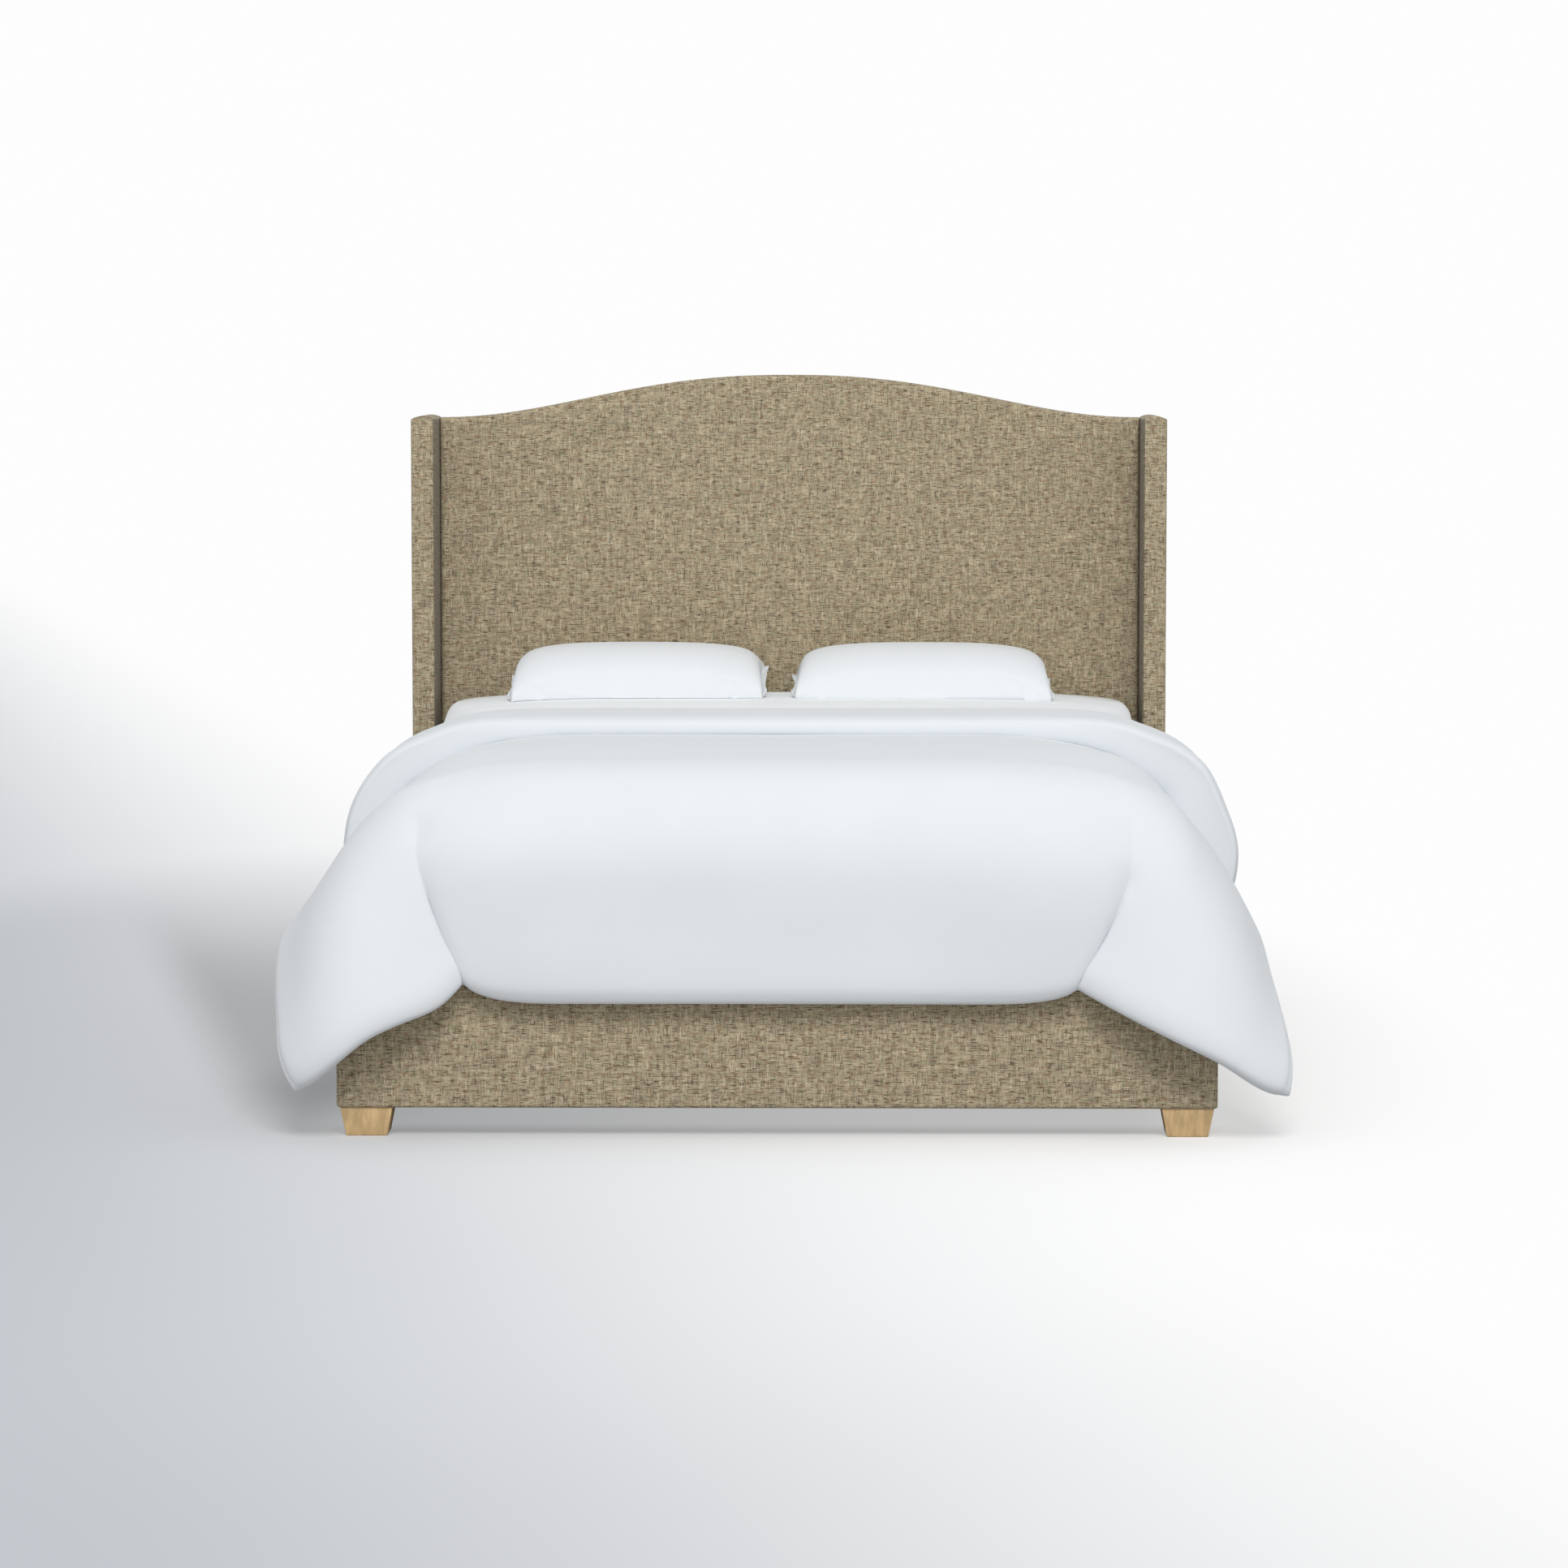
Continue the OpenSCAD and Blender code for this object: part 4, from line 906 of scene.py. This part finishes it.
class BED_OT_mattress(bpy.types.Operator):
    """Makes the mattress with its taped edges, the fitted sheet and the foundation"""

    bl_idname = "bed.mattress"
    bl_label = "Mattress, sheet and foundation"

    def execute(self, context):
        s = context.scene.bed_bedding
        linen = linen_cloth("sheet_percale", s.sheet_linen)
        ticking = striped_ticking(s.ticking)
        tape = linen_cloth("edge_tape", [c * 0.8 for c in s.ticking])
        low, high = MATTRESS
        inset = 0.003
        plan = edge_radius(*CORNER)
        piece = cushion_block("mattress_ticking", low, (high.x, high.y, high.z - inset),
                              lambda y: max(plan(y) - 0.002, 0.03), 0.030,
                              edge_radius(s.soft_edge, 0.030))
        raise_crown(piece, high.z - inset, 0.030)
        smooth(piece, 50)
        finished(piece, ticking, "mattress", "ticking", "mattress", fill=0.9)
        low, high = SHEET
        sheet = cushion_block("fitted_sheet_percale", low, high, plan, 0.02,
                              edge_radius(s.soft_edge, 0.024), hem=low.z)
        raise_crown(sheet, high.z, 0.024)
        self.wrinkle(sheet)
        modifier(sheet, "SOLIDIFY", thickness=0.0012, offset=-1)
        smooth(sheet, 60)
        finished(sheet, linen, "mattress", "linen", "fitted_sheet")
        low, high = BASE
        base = cushion_block("foundation_ticking", low, high, lambda y: BASE_CORNER, 0.010,
                             lambda y: 0.016)
        smooth(base, 50)
        finished(base, ticking, "foundation", "ticking", "foundation_cover", fill=0.95)
        self.tape("mattress_tape_low", "mattress", MATTRESS, MATTRESS[0].z + 0.020, 0.004,
                  tape, plan)
        self.tape("foundation_tape", "foundation", BASE, BASE[1].z - 0.010, 0.001, tape,
                  lambda y: BASE_CORNER)
        return {"FINISHED"}

    @staticmethod
    def wrinkle(sheet):
        """Gathers at the elastic hem and faint pulls across the open part of the sheet."""
        low, high = SHEET
        for v in sheet.data.vertices:
            x, y, z = v.co
            gather = 1 - float(ramp(z, low.z, low.z + 0.12))
            near = 1 - float(ramp(min(abs(y - low.y), abs(y - high.y)), 0.05, 0.30))
            ripple = math.sin(x * 95) + math.sin(y * 90)
            push = 0.0016 * gather * near * ripple
            v.co.x += push * (1 if x > 0 else -1)
            if z > high.z - 0.03:
                v.co.z += 0.0011 * math.sin(y * 31 + 1.5 * math.sin(x * 4)) * float(
                    ramp(y, 0.0, 0.3))

    @staticmethod
    def tape(name, body, box, z, out, material, plan):
        """A round tape sewn along the edge of a cover."""
        points = np.concatenate(corner_arcs(*box, plan, 12, out))[:, :2]
        line = bpy.data.curves.new(name, "CURVE")
        line.dimensions = "3D"
        spline = line.splines.new("POLY")
        spline.points.add(len(points) - 1)
        for target, p in zip(spline.points, points):
            target.co = (*p, z, 1)
        spline.use_cyclic_u = True
        line.bevel_depth = TAPE_RADIUS
        line.bevel_resolution = 3
        only(new_object(name, line))
        bpy.ops.object.convert(target="MESH")
        piece = bpy.context.object
        piece.name = piece.data.name = name
        smooth(piece, 60)
        finished(piece, material, body, "ticking")


# ---------------------------------------------------------------- duvet


def body_loft(s, height):
    """Thickness of the duvet at a height: thin on the mattress, full where it hangs."""
    return s.top_loft + (s.skirt_loft - s.top_loft) * (1 - ramp(height, 0.50, 0.665))


def hem_share(distance, reach):
    """Thickness near a hem, as a share of the full loft: two layers sewn together at the edge."""
    k = np.clip(distance / reach, 0, 1)
    return np.sqrt(np.clip(1 - (1 - k) ** 2, 0, 1))


# Outer surface of the duvet across half of the bed, from the middle to the side hem: near the foot,
# under the turned-back band, and the band itself on the left and on the right
OVER_FOOT = {
    -1: [(0, 0.697), (0.22, 0.697), (0.42, 0.697), (0.52, 0.696), (0.575, 0.692), (0.617, 0.685),
         (0.662, 0.668), (0.697, 0.642), (0.730, 0.606), (0.772, 0.568), (0.816, 0.530)],
    1: [(0, 0.697), (0.22, 0.697), (0.42, 0.697), (0.54, 0.696), (0.60, 0.692), (0.65, 0.682),
        (0.705, 0.654), (0.735, 0.624), (0.764, 0.585), (0.790, 0.550), (0.816, 0.512)],
}
UNDER_BAND = [(0, 0.689), (0.22, 0.690), (0.436, 0.689), (0.52, 0.683), (0.574, 0.674),
              (0.625, 0.662), (0.671, 0.645), (0.726, 0.612), (0.762, 0.579), (0.790, 0.546),
              (0.832, 0.488)]
BAND = {
    -1: [(0, 0.722), (0.22, 0.722), (0.45, 0.7215), (0.60, 0.7165), (0.655, 0.7075),
         (0.695, 0.6955), (0.720, 0.685), (0.748, 0.6745), (0.776, 0.662), (0.8043, 0.643),
         (0.830, 0.6145), (0.860, 0.570), (0.879, 0.523), (0.889, 0.450), (0.889, 0.390),
         (0.884, 0.345)],
    1: [(0, 0.722), (0.22, 0.722), (0.45, 0.7225), (0.60, 0.7195), (0.66, 0.7135), (0.7043, 0.7045),
        (0.736, 0.692), (0.766, 0.6815), (0.7995, 0.668), (0.829, 0.651), (0.857, 0.6265),
        (0.878, 0.588), (0.897, 0.534), (0.918, 0.468), (0.915, 0.400), (0.900, 0.350)],
}


def body_outer(side, y):
    """The duvet's outer surface across one half of the bed. y counts from the footboard."""
    t = float(ramp(y, 0.40, 0.84))
    upper = [(a[0] * (1 - t) + b[0] * t, a[1] * (1 - t) + b[1] * t)
             for a, b in zip(OVER_FOOT[side], UNDER_BAND)]
    flare = float(np.interp(y, [0.10, 0.32, 0.42, 0.60, 0.85, 1.2],
                            [0.954, 0.954, 0.940, 0.915, 0.872, 0.866] if side < 0 else
                            [0.926, 0.926, 0.920, 0.902, 0.872, 0.866]))
    low = float(np.interp(y, [0.32, 0.6, 1.2], [0.335, 0.345, 0.345]))
    x, z = upper[-1]
    return upper + [(x + (flare - x) * 0.42, z - (z - low) * 0.36),
                    (x + (flare - x) * 0.80, z - (z - low) * 0.72), (flare, low)]


def band_loft(x):
    """Thickness of the turned-back band at a distance x from the middle of the bed."""
    return np.where(np.asarray(x) < 0, np.interp(
        np.abs(x), [0, 0.45, 0.574, 0.673, 0.75, 0.83, 0.88, 0.91],
        [0.033, 0.034, 0.046, 0.066, 0.082, 0.086, 0.078, 0.070]), np.interp(
        np.abs(x), [0, 0.45, 0.60, 0.70, 0.77, 0.83, 0.88, 0.925],
        [0.033, 0.036, 0.052, 0.073, 0.093, 0.112, 0.114, 0.100]))


def middle_of(outer, loft_at):
    """Moves a line across the bed inwards by half of the thickness it has at each point."""
    p = curve(outer, at=np.linspace(0, 1, 400))
    t = np.gradient(p, axis=0)
    n = np.column_stack([-t[:, 1], t[:, 0]]) / np.linalg.norm(t, axis=1)[:, None]
    p = p - n * loft_at(p)[:, None] / 2
    p[0, 0] = 0
    return np.maximum(p, [[0, 0]])


FOLD = 1.148            # distance of the fold from the footboard's face
COLUMNS = 24            # columns of points in half of the front drop
TURN = 6                # rows of points round the fold

# Shares of the way from the middle to a crease, from a crease to the side hem, and up from the hem
CROSS = np.concatenate([np.linspace(0, 0.90, 21), [0.935, 0.962, 0.983, 1.0]])
OUT = np.concatenate([[0, 0.016, 0.036, 0.062], np.linspace(0.10, 0.88, 17),
                      [0.92, 0.945, 0.962, 0.978, 0.991, 1.0]])
UP = np.concatenate([[0, 0.010, 0.026, 0.050, 0.085], np.linspace(0.12, 1, 23)])

# Rows of the band, by their distance from the fold, and how near each is to its stitched line
RUNS = np.concatenate([np.linspace(0, 0.205, 11), [0.218, 0.228, 0.235, 0.240, 0.245, 0.252,
                                                   0.262, 0.275, 0.285, 0.292, 0.297, 0.300]])
STITCHED = np.exp(-((RUNS - 0.240) / 0.0065) ** 2)


def near_crease(width):
    """How near each column of the duvet is to one of its two creases."""
    count = 2 * (COLUMNS + len(OUT)) - 1
    from_middle = np.abs(np.arange(count) - (count - 1) / 2)
    return np.exp(-((from_middle - COLUMNS) / width) ** 2)


def half_row(line, side, y):
    """Points across half of the bed: even as far as the crease, then out to the hem."""
    k = int(np.argmin(abs(line[:, 0] - 0.65)))
    run = run_of(line)
    at = np.concatenate([run[k] * CROSS[:-1], run[k] + (run[-1] - run[k]) * OUT])
    x, z = np.interp(at, run, line[:, 0]), np.interp(at, run, line[:, 1])
    return np.column_stack([x * side, np.full(len(x), y), z])


def whole_row(lines, y):
    left, right = (half_row(lines[k], k, y) for k in (-1, 1))
    return np.concatenate([left[:0:-1], right])


class BED_OT_duvet(bpy.types.Operator):
    """Makes the duvet in one piece: the front drop, both hanging corners, the top and the
    turned-back band"""

    bl_idname = "bed.duvet"
    bl_label = "Duvet"

    # Middle surface of the left corner, then of the right one, counted from the footboard's face
    CREASE = {
        -1: [(-0.583, -0.026, 0.292), (-0.593, -0.028, 0.322), (-0.623, -0.026, 0.383),
             (-0.649, -0.018, 0.458), (-0.660, -0.006, 0.515), (-0.660, 0.014, 0.572),
             (-0.655, 0.046, 0.622), (-0.650, 0.090, 0.650)],
        1: [(0.559, -0.026, 0.283), (0.570, -0.029, 0.312), (0.606, -0.028, 0.373),
            (0.636, -0.024, 0.440), (0.652, -0.016, 0.495), (0.658, 0.010, 0.565),
            (0.655, 0.046, 0.622), (0.650, 0.090, 0.650)],
    }
    FRONT_HEM = {
        -1: [(-0.583, -0.026, 0.292), (-0.626, -0.060, 0.250), (-0.698, -0.088, 0.221),
             (-0.752, -0.098, 0.196), (-0.800, -0.098, 0.160), (-0.852, -0.080, 0.118),
             (-0.894, -0.050, 0.092)],
        1: [(0.559, -0.026, 0.283), (0.631, -0.064, 0.245), (0.728, -0.092, 0.197),
            (0.819, -0.094, 0.153), (0.905, -0.070, 0.101), (0.952, -0.040, 0.086)],
    }
    SIDE_HEM = {
        -1: [(-0.894, -0.050, 0.092), (-0.919, -0.015, 0.145), (-0.930, 0.050, 0.212),
             (-0.940, 0.140, 0.280), (-0.942, 0.230, 0.322), (-0.933, 0.320, 0.335)],
        1: [(0.952, -0.040, 0.086), (0.954, 0.005, 0.140), (0.941, 0.070, 0.205),
            (0.921, 0.150, 0.270), (0.910, 0.240, 0.318), (0.904, 0.320, 0.335)],
    }
    SHOULDER = {
        -1: [(-0.650, 0.090, 0.650), (-0.693, 0.104, 0.634), (-0.736, 0.128, 0.603),
             (-0.776, 0.160, 0.556), (-0.820, 0.208, 0.484), (-0.875, 0.270, 0.402),
             (-0.933, 0.320, 0.335)],
        1: [(0.650, 0.090, 0.650), (0.693, 0.104, 0.634), (0.738, 0.128, 0.603),
            (0.772, 0.160, 0.556), (0.824, 0.208, 0.477), (0.870, 0.270, 0.398),
            (0.904, 0.320, 0.335)],
    }
    CENTRE = [(0.0, -0.030, 0.2555), (0.0, -0.033, 0.300), (0.0, -0.034, 0.370),
              (0.0, -0.034, 0.450), (0.0, -0.031, 0.520), (0.0, -0.020, 0.575),
              (0.0, 0.010, 0.628), (0.0, 0.058, 0.667), (0.0, 0.130, 0.684)]

    def ear(self, side):
        """A corner as a patch between its crease, its two hems and the shoulder above it."""
        c = curve(self.CREASE[side], at=UP)[:, None]
        h = curve(self.FRONT_HEM[side], at=OUT)[None]
        e = curve(self.SIDE_HEM[side], at=UP)[:, None]
        l = curve(self.SHOULDER[side], at=OUT)[None]
        u, v = OUT[None, :, None], UP[:, None, None]
        patch = ((1 - v) * h + v * l + (1 - u) * c + u * e
                 - (1 - u) * (1 - v) * h[:, :1] - u * (1 - v) * h[:, -1:]
                 - (1 - u) * v * l[:, :1] - u * v * l[:, -1:])
        swell = np.sin(np.pi * u) ** 1.25 * np.sin(np.pi * np.clip(v * 0.94 + 0.03, 0, 1))
        away = np.array([side * 0.55, -0.80, 0.20])
        return patch + away * swell * 0.030

    def foot_end(self):
        """The front drop between the two creases, with a hanging corner on either side."""
        middle = curve(self.CENTRE, at=UP)
        left, right = (curve(self.CREASE[k], at=UP) for k in (-1, 1))
        front = np.zeros((len(UP), 2 * COLUMNS + 1, 3))
        for j in range(front.shape[1]):
            a = CROSS[abs(j - COLUMNS)]
            edge = left if j < COLUMNS else right
            pull = (a ** (7 + 6 * (1 - ramp(UP, 0.0, 0.3))))[:, None]
            front[:, j] = middle * (1 - pull) + edge * pull
            front[:, j, 0] = edge[:, 0] * a
            puff = 0.012 * np.sin(np.pi * a ** 3) * np.sin(np.pi * UP) ** 0.8
            puff = puff * (1 - 0.7 * ramp(UP, 0.45, 0.8))
            x, z = front[:, j, 0], front[:, j, 2]
            slack = 0.0030 * np.sin(7.3 * x + 14.0 * z + 1.1) * np.sin(5.1 * x - 9.0 * z)
            front[:, j, 1] -= puff + slack * np.sin(np.pi * UP)
        grid = np.concatenate([self.ear(-1)[:, :0:-1], front, self.ear(1)[:, 1:]], axis=1)
        low_part = np.sin(np.pi * np.clip(UP * 1.6, 0, 1)) ** 0.7 * (1 - ramp(UP, 0.3, 0.6))
        tuck = near_crease(1.1)[None] * low_part[:, None] * 0.006
        for spot in ((-0.660, 0.012, 0.570), (0.655, -0.016, 0.478)):
            tuck += 0.007 * np.exp(-(np.linalg.norm(grid - spot, axis=2) / 0.024) ** 2)
        return grid - grid_normals(grid) * tuck[..., None]

    @staticmethod
    def over_top(s, shoulder):
        """Rows over the mattress, from the shoulder of the corners as far as the fold."""
        rows = []
        for i, y in enumerate([*np.linspace(0.17, 1.10, 30), 1.128, FOLD]):
            row = whole_row({k: middle_of(body_outer(k, y), lambda p: body_loft(s, p[:, 1]))
                             for k in (-1, 1)}, y)
            w = 1 - float(ramp(y, 0.06, 0.46))
            lean = shoulder.copy()
            lean[:, 1] += y - 0.13
            row = lean * w + row * (1 - w)
            row[:, 1] = np.maximum(row[:, 1], shoulder[:, 1] + 0.012 * (i + 1))
            rows.append(row)
        return np.array(rows)

    @staticmethod
    def turned_band():
        """The band turned back over the top, pressed in along its stitched line."""
        flat = {k: middle_of(BAND[k], lambda p: band_loft(p[:, 0] * k)) for k in (-1, 1)}
        band = np.array([whole_row(flat, FOLD - run) for run in RUNS])
        puff = np.exp(-((RUNS - 0.272) / 0.016) ** 2)
        sunk = ramp(RUNS, 0.255, 0.292) * 0.006
        side_on = ramp(np.abs(band[0, :, 0]), 0.50, 0.72)[None]
        swell = (puff[:, None] * (0.004 + 0.003 * side_on) - sunk[:, None]
                 - STITCHED[:, None] * (0.007 + 0.008 * side_on))[..., None]
        return band + grid_normals(band[::-1])[::-1] * swell

    @staticmethod
    def turn(last, first):
        """Rows round the fold, from the last row of the top to the first one of the band."""
        rows = []
        for k in range(1, TURN + 1):
            a = math.pi * k / (TURN + 1)
            row = last + (first - last) * (1 - math.cos(a)) / 2
            row[:, 1] = FOLD + 0.022 * math.sin(a)
            rows.append(row)
        return np.array(rows)

    @staticmethod
    def thickness(s, grid):
        """Thin on the mattress, full where it hangs, sewn flat at the hems."""
        loft = body_loft(s, grid[..., 2])
        wide = band_loft(grid[..., 0] * 1.03)
        band = len(grid) - len(RUNS)
        loft[band:] = wide[band:]
        for k in range(TURN):
            t = (k + 1) / (TURN + 1)
            loft[band - TURN + k] = loft[band - TURN - 1] * (1 - t) + wide[band] * t
        depth = np.zeros(len(loft))
        depth[:len(UP)] = np.sin(np.pi * UP) ** 0.5 * (1 - ramp(UP, 0.25, 0.7))
        loft *= 1 - 0.45 * near_crease(1.3)[None] * depth[:, None]
        from_foot, from_left = run_of(grid), run_of(grid, 1)
        for distance, reach in ((from_foot, 0.030), (from_foot[-1] - from_foot, 0.016),
                                (from_left, 0.028), (from_left[:, -1:] - from_left, 0.028)):
            loft *= hem_share(distance + 0.0008, reach)
            if reach > 0.02:
                loft *= 1 - 0.22 * np.exp(-((distance - 0.017) / 0.0055) ** 2)
        loft = np.maximum(loft, 0.004)
        loft[band:] *= (1 - 0.30 * STITCHED)[:, None]
        return loft

    def execute(self, context):
        s = context.scene.bed_bedding
        foot = self.foot_end()
        top = self.over_top(s, foot[-1])
        band = self.turned_band()
        grid = np.concatenate([foot, top, self.turn(top[-1], band[0]), band])
        grid[..., 1] += FOOT_Y
        piece = quilt("duvet_percale", grid, self.thickness(s, grid))
        finer(piece)
        smooth(piece, 180)
        finished(piece, context.scene["bed_linen"], "duvet", "linen", "duvet", fill=0.45)
        return {"FINISHED"}


# ---------------------------------------------------------------- pillows


class BED_OT_pillows(bpy.types.Operator):
    """Makes both pillows with their cases"""

    bl_idname = "bed.pillows"
    bl_label = "Pillows"

    def execute(self, context):
        for side, body in ((-1, "pillow_left"), (1, "pillow_right")):
            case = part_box(body.replace("pillow", "pillowcase"))
            self.cushion(context, body, case, side)
        return {"FINISHED"}

    def cushion(self, context, body, box, side):
        linen = bpy.data.materials.get("case_percale") or linen_cloth(
            "case_percale", context.scene.bed_bedding.case_linen)
        (cx, cy, _), (hx, hy, _) = centre_and_half(*box)
        u = np.sin(np.linspace(-1, 1, 66) * np.pi / 2)[None, :]
        v = np.sin(np.linspace(-1, 1, 50) * np.pi / 2)[:, None]
        pull = 1 - 0.045 * np.cos(u * np.pi / 2) ** 0.8 * (abs(v) ** 3)
        side_pull = 1 - 0.030 * np.cos(v * np.pi / 2) ** 0.8 * (abs(u) ** 3)
        x = cx + hx * u * side_pull
        y = cy + hy * 0.985 * v * pull
        x = x + 0.008 * (1 - v) / 2 * np.clip(-u, 0, 1) * (side < 0)
        fill = (1 - abs(u) ** 3.0) ** 0.21 * (1 - abs(v) ** 2.3) ** 0.58
        back = 0.737 + 0.012 * u if side < 0 else 0.723 - 0.004 * u
        bed = SHEET[1].z + crown_at(x, y)
        seam = bed + 0.001 + (back - bed) * ((v + 1) / 2) ** 1.3
        for name, shrink in (("_case_percale", 0.004), ("_insert_ticking", 0.012)):
            top = box[1].z - shrink
            upper = np.stack([x, y, seam + (top - seam) * fill], -1)
            under = np.maximum(seam - 0.045 * fill, bed + shrink - 0.003)
            lower = np.stack([x, y, np.minimum(under, upper[..., 2] - 0.003)], -1)
            piece = shell(body + name, upper, lower)
            if "case" in name:
                fill_out(piece, voxel=0.005, pressure=4.0, cap=0.008)
                self.rest_on_sheet(piece)
                finer(piece)
                self.flange(piece, x, y, seam, side)
                smooth(piece, 180)
                finished(piece, linen, body, "linen", body.replace("pillow", "pillowcase"),
                         fill=0.7)
            else:
                for p in piece.data.vertices:
                    p.co.x = cx + (p.co.x - cx) * 0.95
                    p.co.y = cy + (p.co.y - cy) * 0.94
                finer(piece)
                smooth(piece, 180)
                finished(piece, context.scene["bed_ticking"], body, "ticking", body, fill=0.7)

    @staticmethod
    def rest_on_sheet(piece):
        """Flattens the underside where the pillow lies on the sheet."""
        gap, reach = 0.0004, 0.009
        for p in piece.data.vertices:
            bed = SHEET[1].z + float(crown_at(p.co.x, p.co.y)) + gap
            p.co.z = bed if p.co.z < bed + reach else p.co.z

    @staticmethod
    def flange(piece, x, y, seam, side):
        """Adds the flat sewn strip along both ends of the case, a little ruffled."""
        wide = 0.015
        body = points_of(piece)
        for end, column in ((-1, 0), (1, -1)):
            line = np.stack([x[:, column], y[:, column], seam[:, column]], -1)
            line = curve(line[1:-1], count=120)
            k = np.linspace(0, 1, 120)
            edge = []
            for point in line:
                near = body[(abs(body[:, 1] - point[1]) < 0.012)
                            & (abs(body[:, 2] - point[2]) < 0.020)]
                edge.append(near[:, 0].max() if end > 0 else near[:, 0].min())
            edge = np.convolve(np.pad(edge, 6, mode="edge"), np.ones(13) / 13, "valid")
            line[:, 0] = edge
            ruffle = 0.0022 * np.sin(k * 46 + side) + 0.0014 * np.sin(k * 107 + 2 * end)
            rows = []
            taper = np.clip(np.sin(np.pi * np.clip(k, 0.02, 0.98)) * 2.5, 0, 1)
            for step in range(5):
                s = step / 4
                row = line.copy()
                row[:, 0] += end * (wide * taper * s - 0.003)
                row[:, 2] += (ruffle * s + 0.010 * s * s) * taper
                rows.append(row)
            rows = np.array(rows)
            only(quilt("case_flange", rows, np.full(rows.shape[:2], 0.0016)))
            piece.select_set(True)
            bpy.context.view_layer.objects.active = piece
            bpy.ops.object.join()


# ---------------------------------------------------------------- stage


def lamp(name, place, target, size, power, colour):
    """A rectangular lamp that faces its target."""
    light = bpy.data.lights.new(name, "AREA")
    light.shape, light.size, light.size_y = "RECTANGLE", *size
    light.energy, light.color = power, colour
    holder = new_object(name, light)
    holder.location = place
    holder.rotation_euler = (Vector(target) - Vector(place)).to_track_quat("-Z", "Y").to_euler()


def room_light(strength):
    """Even light, and a white room where the camera, a reflection or a clear piece sees it."""
    world = bpy.data.worlds.new("room")
    world.use_nodes = True
    tree = world.node_tree
    tree.nodes.clear()
    out, lit, seen, mix, path = (tree.nodes.new("ShaderNode" + kind) for kind in (
        "OutputWorld", "Background", "Background", "MixShader", "LightPath"))
    first, second = (tree.nodes.new("ShaderNodeMath") for _ in range(2))
    first.operation = second.operation = "MAXIMUM"
    lit.inputs["Color"].default_value = (0.97, 0.985, 1.0, 1)
    lit.inputs["Strength"].default_value = strength
    seen.inputs["Color"].default_value = (1, 1, 1, 1)
    seen.inputs["Strength"].default_value = 0.985
    for source, target in ((path.outputs["Is Camera Ray"], first.inputs[0]),
                           (path.outputs["Is Glossy Ray"], first.inputs[1]),
                           (first.outputs[0], second.inputs[0]),
                           (path.outputs["Is Transmission Ray"], second.inputs[1]),
                           (second.outputs[0], mix.inputs[0]), (lit.outputs[0], mix.inputs[1]),
                           (seen.outputs[0], mix.inputs[2]), (mix.outputs[0], out.inputs[0])):
        tree.links.new(source, target)
    return world


class BED_OT_stage(bpy.types.Operator):
    """Sets up the camera, the lamps and the floor"""

    bl_idname = "bed.stage"
    bl_label = "Stage"

    def execute(self, context):
        s = context.scene.bed_stage
        scene = context.scene
        scene.view_settings.view_transform = "Standard"
        data = bpy.data.cameras.new("camera")
        data.lens, data.sensor_width, data.clip_end = s.lens, 36, 200
        camera = new_object("camera", data)
        away, tilt, swing = 9.490, 4.974, 0.703
        camera.location = (0.1301, FOOT_Y - away, 1.489)
        camera.rotation_euler = (math.radians(90 - tilt), 0, math.radians(swing))
        scene.camera = camera

        lamp("key_lamp", (1.1, -12.2, 11.8), (0, 0.2, 0.5), (6.2, 5.6), s.key, (1, 0.99, 0.97))
        lamp("front_lamp", (0.3, -11.6, 2.4), (0, 0, 0.8), (4.0, 3.0), s.front, (1, 0.995, 0.985))
        scene.world = room_light(s.sky)
        nothing_selected()
        bpy.ops.mesh.primitive_plane_add(size=80)
        floor = context.object
        floor.name = floor.data.name = "floor"
        floor.data.materials.append(pale_floor(s.floor))
        return {"FINISHED"}


# ---------------------------------------------------------------- add-on


class BED_PT_panel(bpy.types.Panel):
    """Lists the bed's sizes and the steps that build it"""

    bl_label = "Wingback bed"
    bl_idname = "BED_PT_panel"
    bl_space_type = "VIEW_3D"
    bl_region_type = "UI"
    bl_category = "Bed"

    def draw(self, context):
        for group in GROUPS:
            box = self.layout.box()
            settings = getattr(context.scene, group)
            for name in settings.bl_rna.properties.keys():
                if name not in ("rna_type", "name"):
                    box.prop(settings, name)
        for step in STEPS:
            self.layout.operator(step.bl_idname)


GROUPS = {
    "bed_cover": CoverSettings,
    "bed_bedding": BeddingSettings,
    "bed_wood": WoodSettings,
    "bed_stage": StageSettings,
}
STEPS = (BED_OT_stage, BED_OT_headboard, BED_OT_wings, BED_OT_rails, BED_OT_legs,
         BED_OT_inner_frame, BED_OT_mattress, BED_OT_duvet, BED_OT_pillows)
CLASSES = (*GROUPS.values(), *STEPS, BED_PT_panel)


def register():
    for c in CLASSES:
        bpy.utils.register_class(c)
    for name, group in GROUPS.items():
        setattr(bpy.types.Scene, name, bpy.props.PointerProperty(type=group))


def unregister():
    for name in GROUPS:
        delattr(bpy.types.Scene, name)
    for c in reversed(CLASSES):
        bpy.utils.unregister_class(c)


def main():
    register()
    scene = bpy.context.scene
    scene["bed_tweed"] = tweed(scene.bed_cover)
    scene["bed_linen"] = linen_cloth("white_percale", scene.bed_bedding.linen)
    scene["bed_ticking"] = striped_ticking(scene.bed_bedding.ticking)
    for step in STEPS:
        area, name = step.bl_idname.split(".")
        if getattr(getattr(bpy.ops, area), name)() != {"FINISHED"}:
            raise RuntimeError(step.bl_label + " was not finished")


if __name__ == "__main__":
    main()
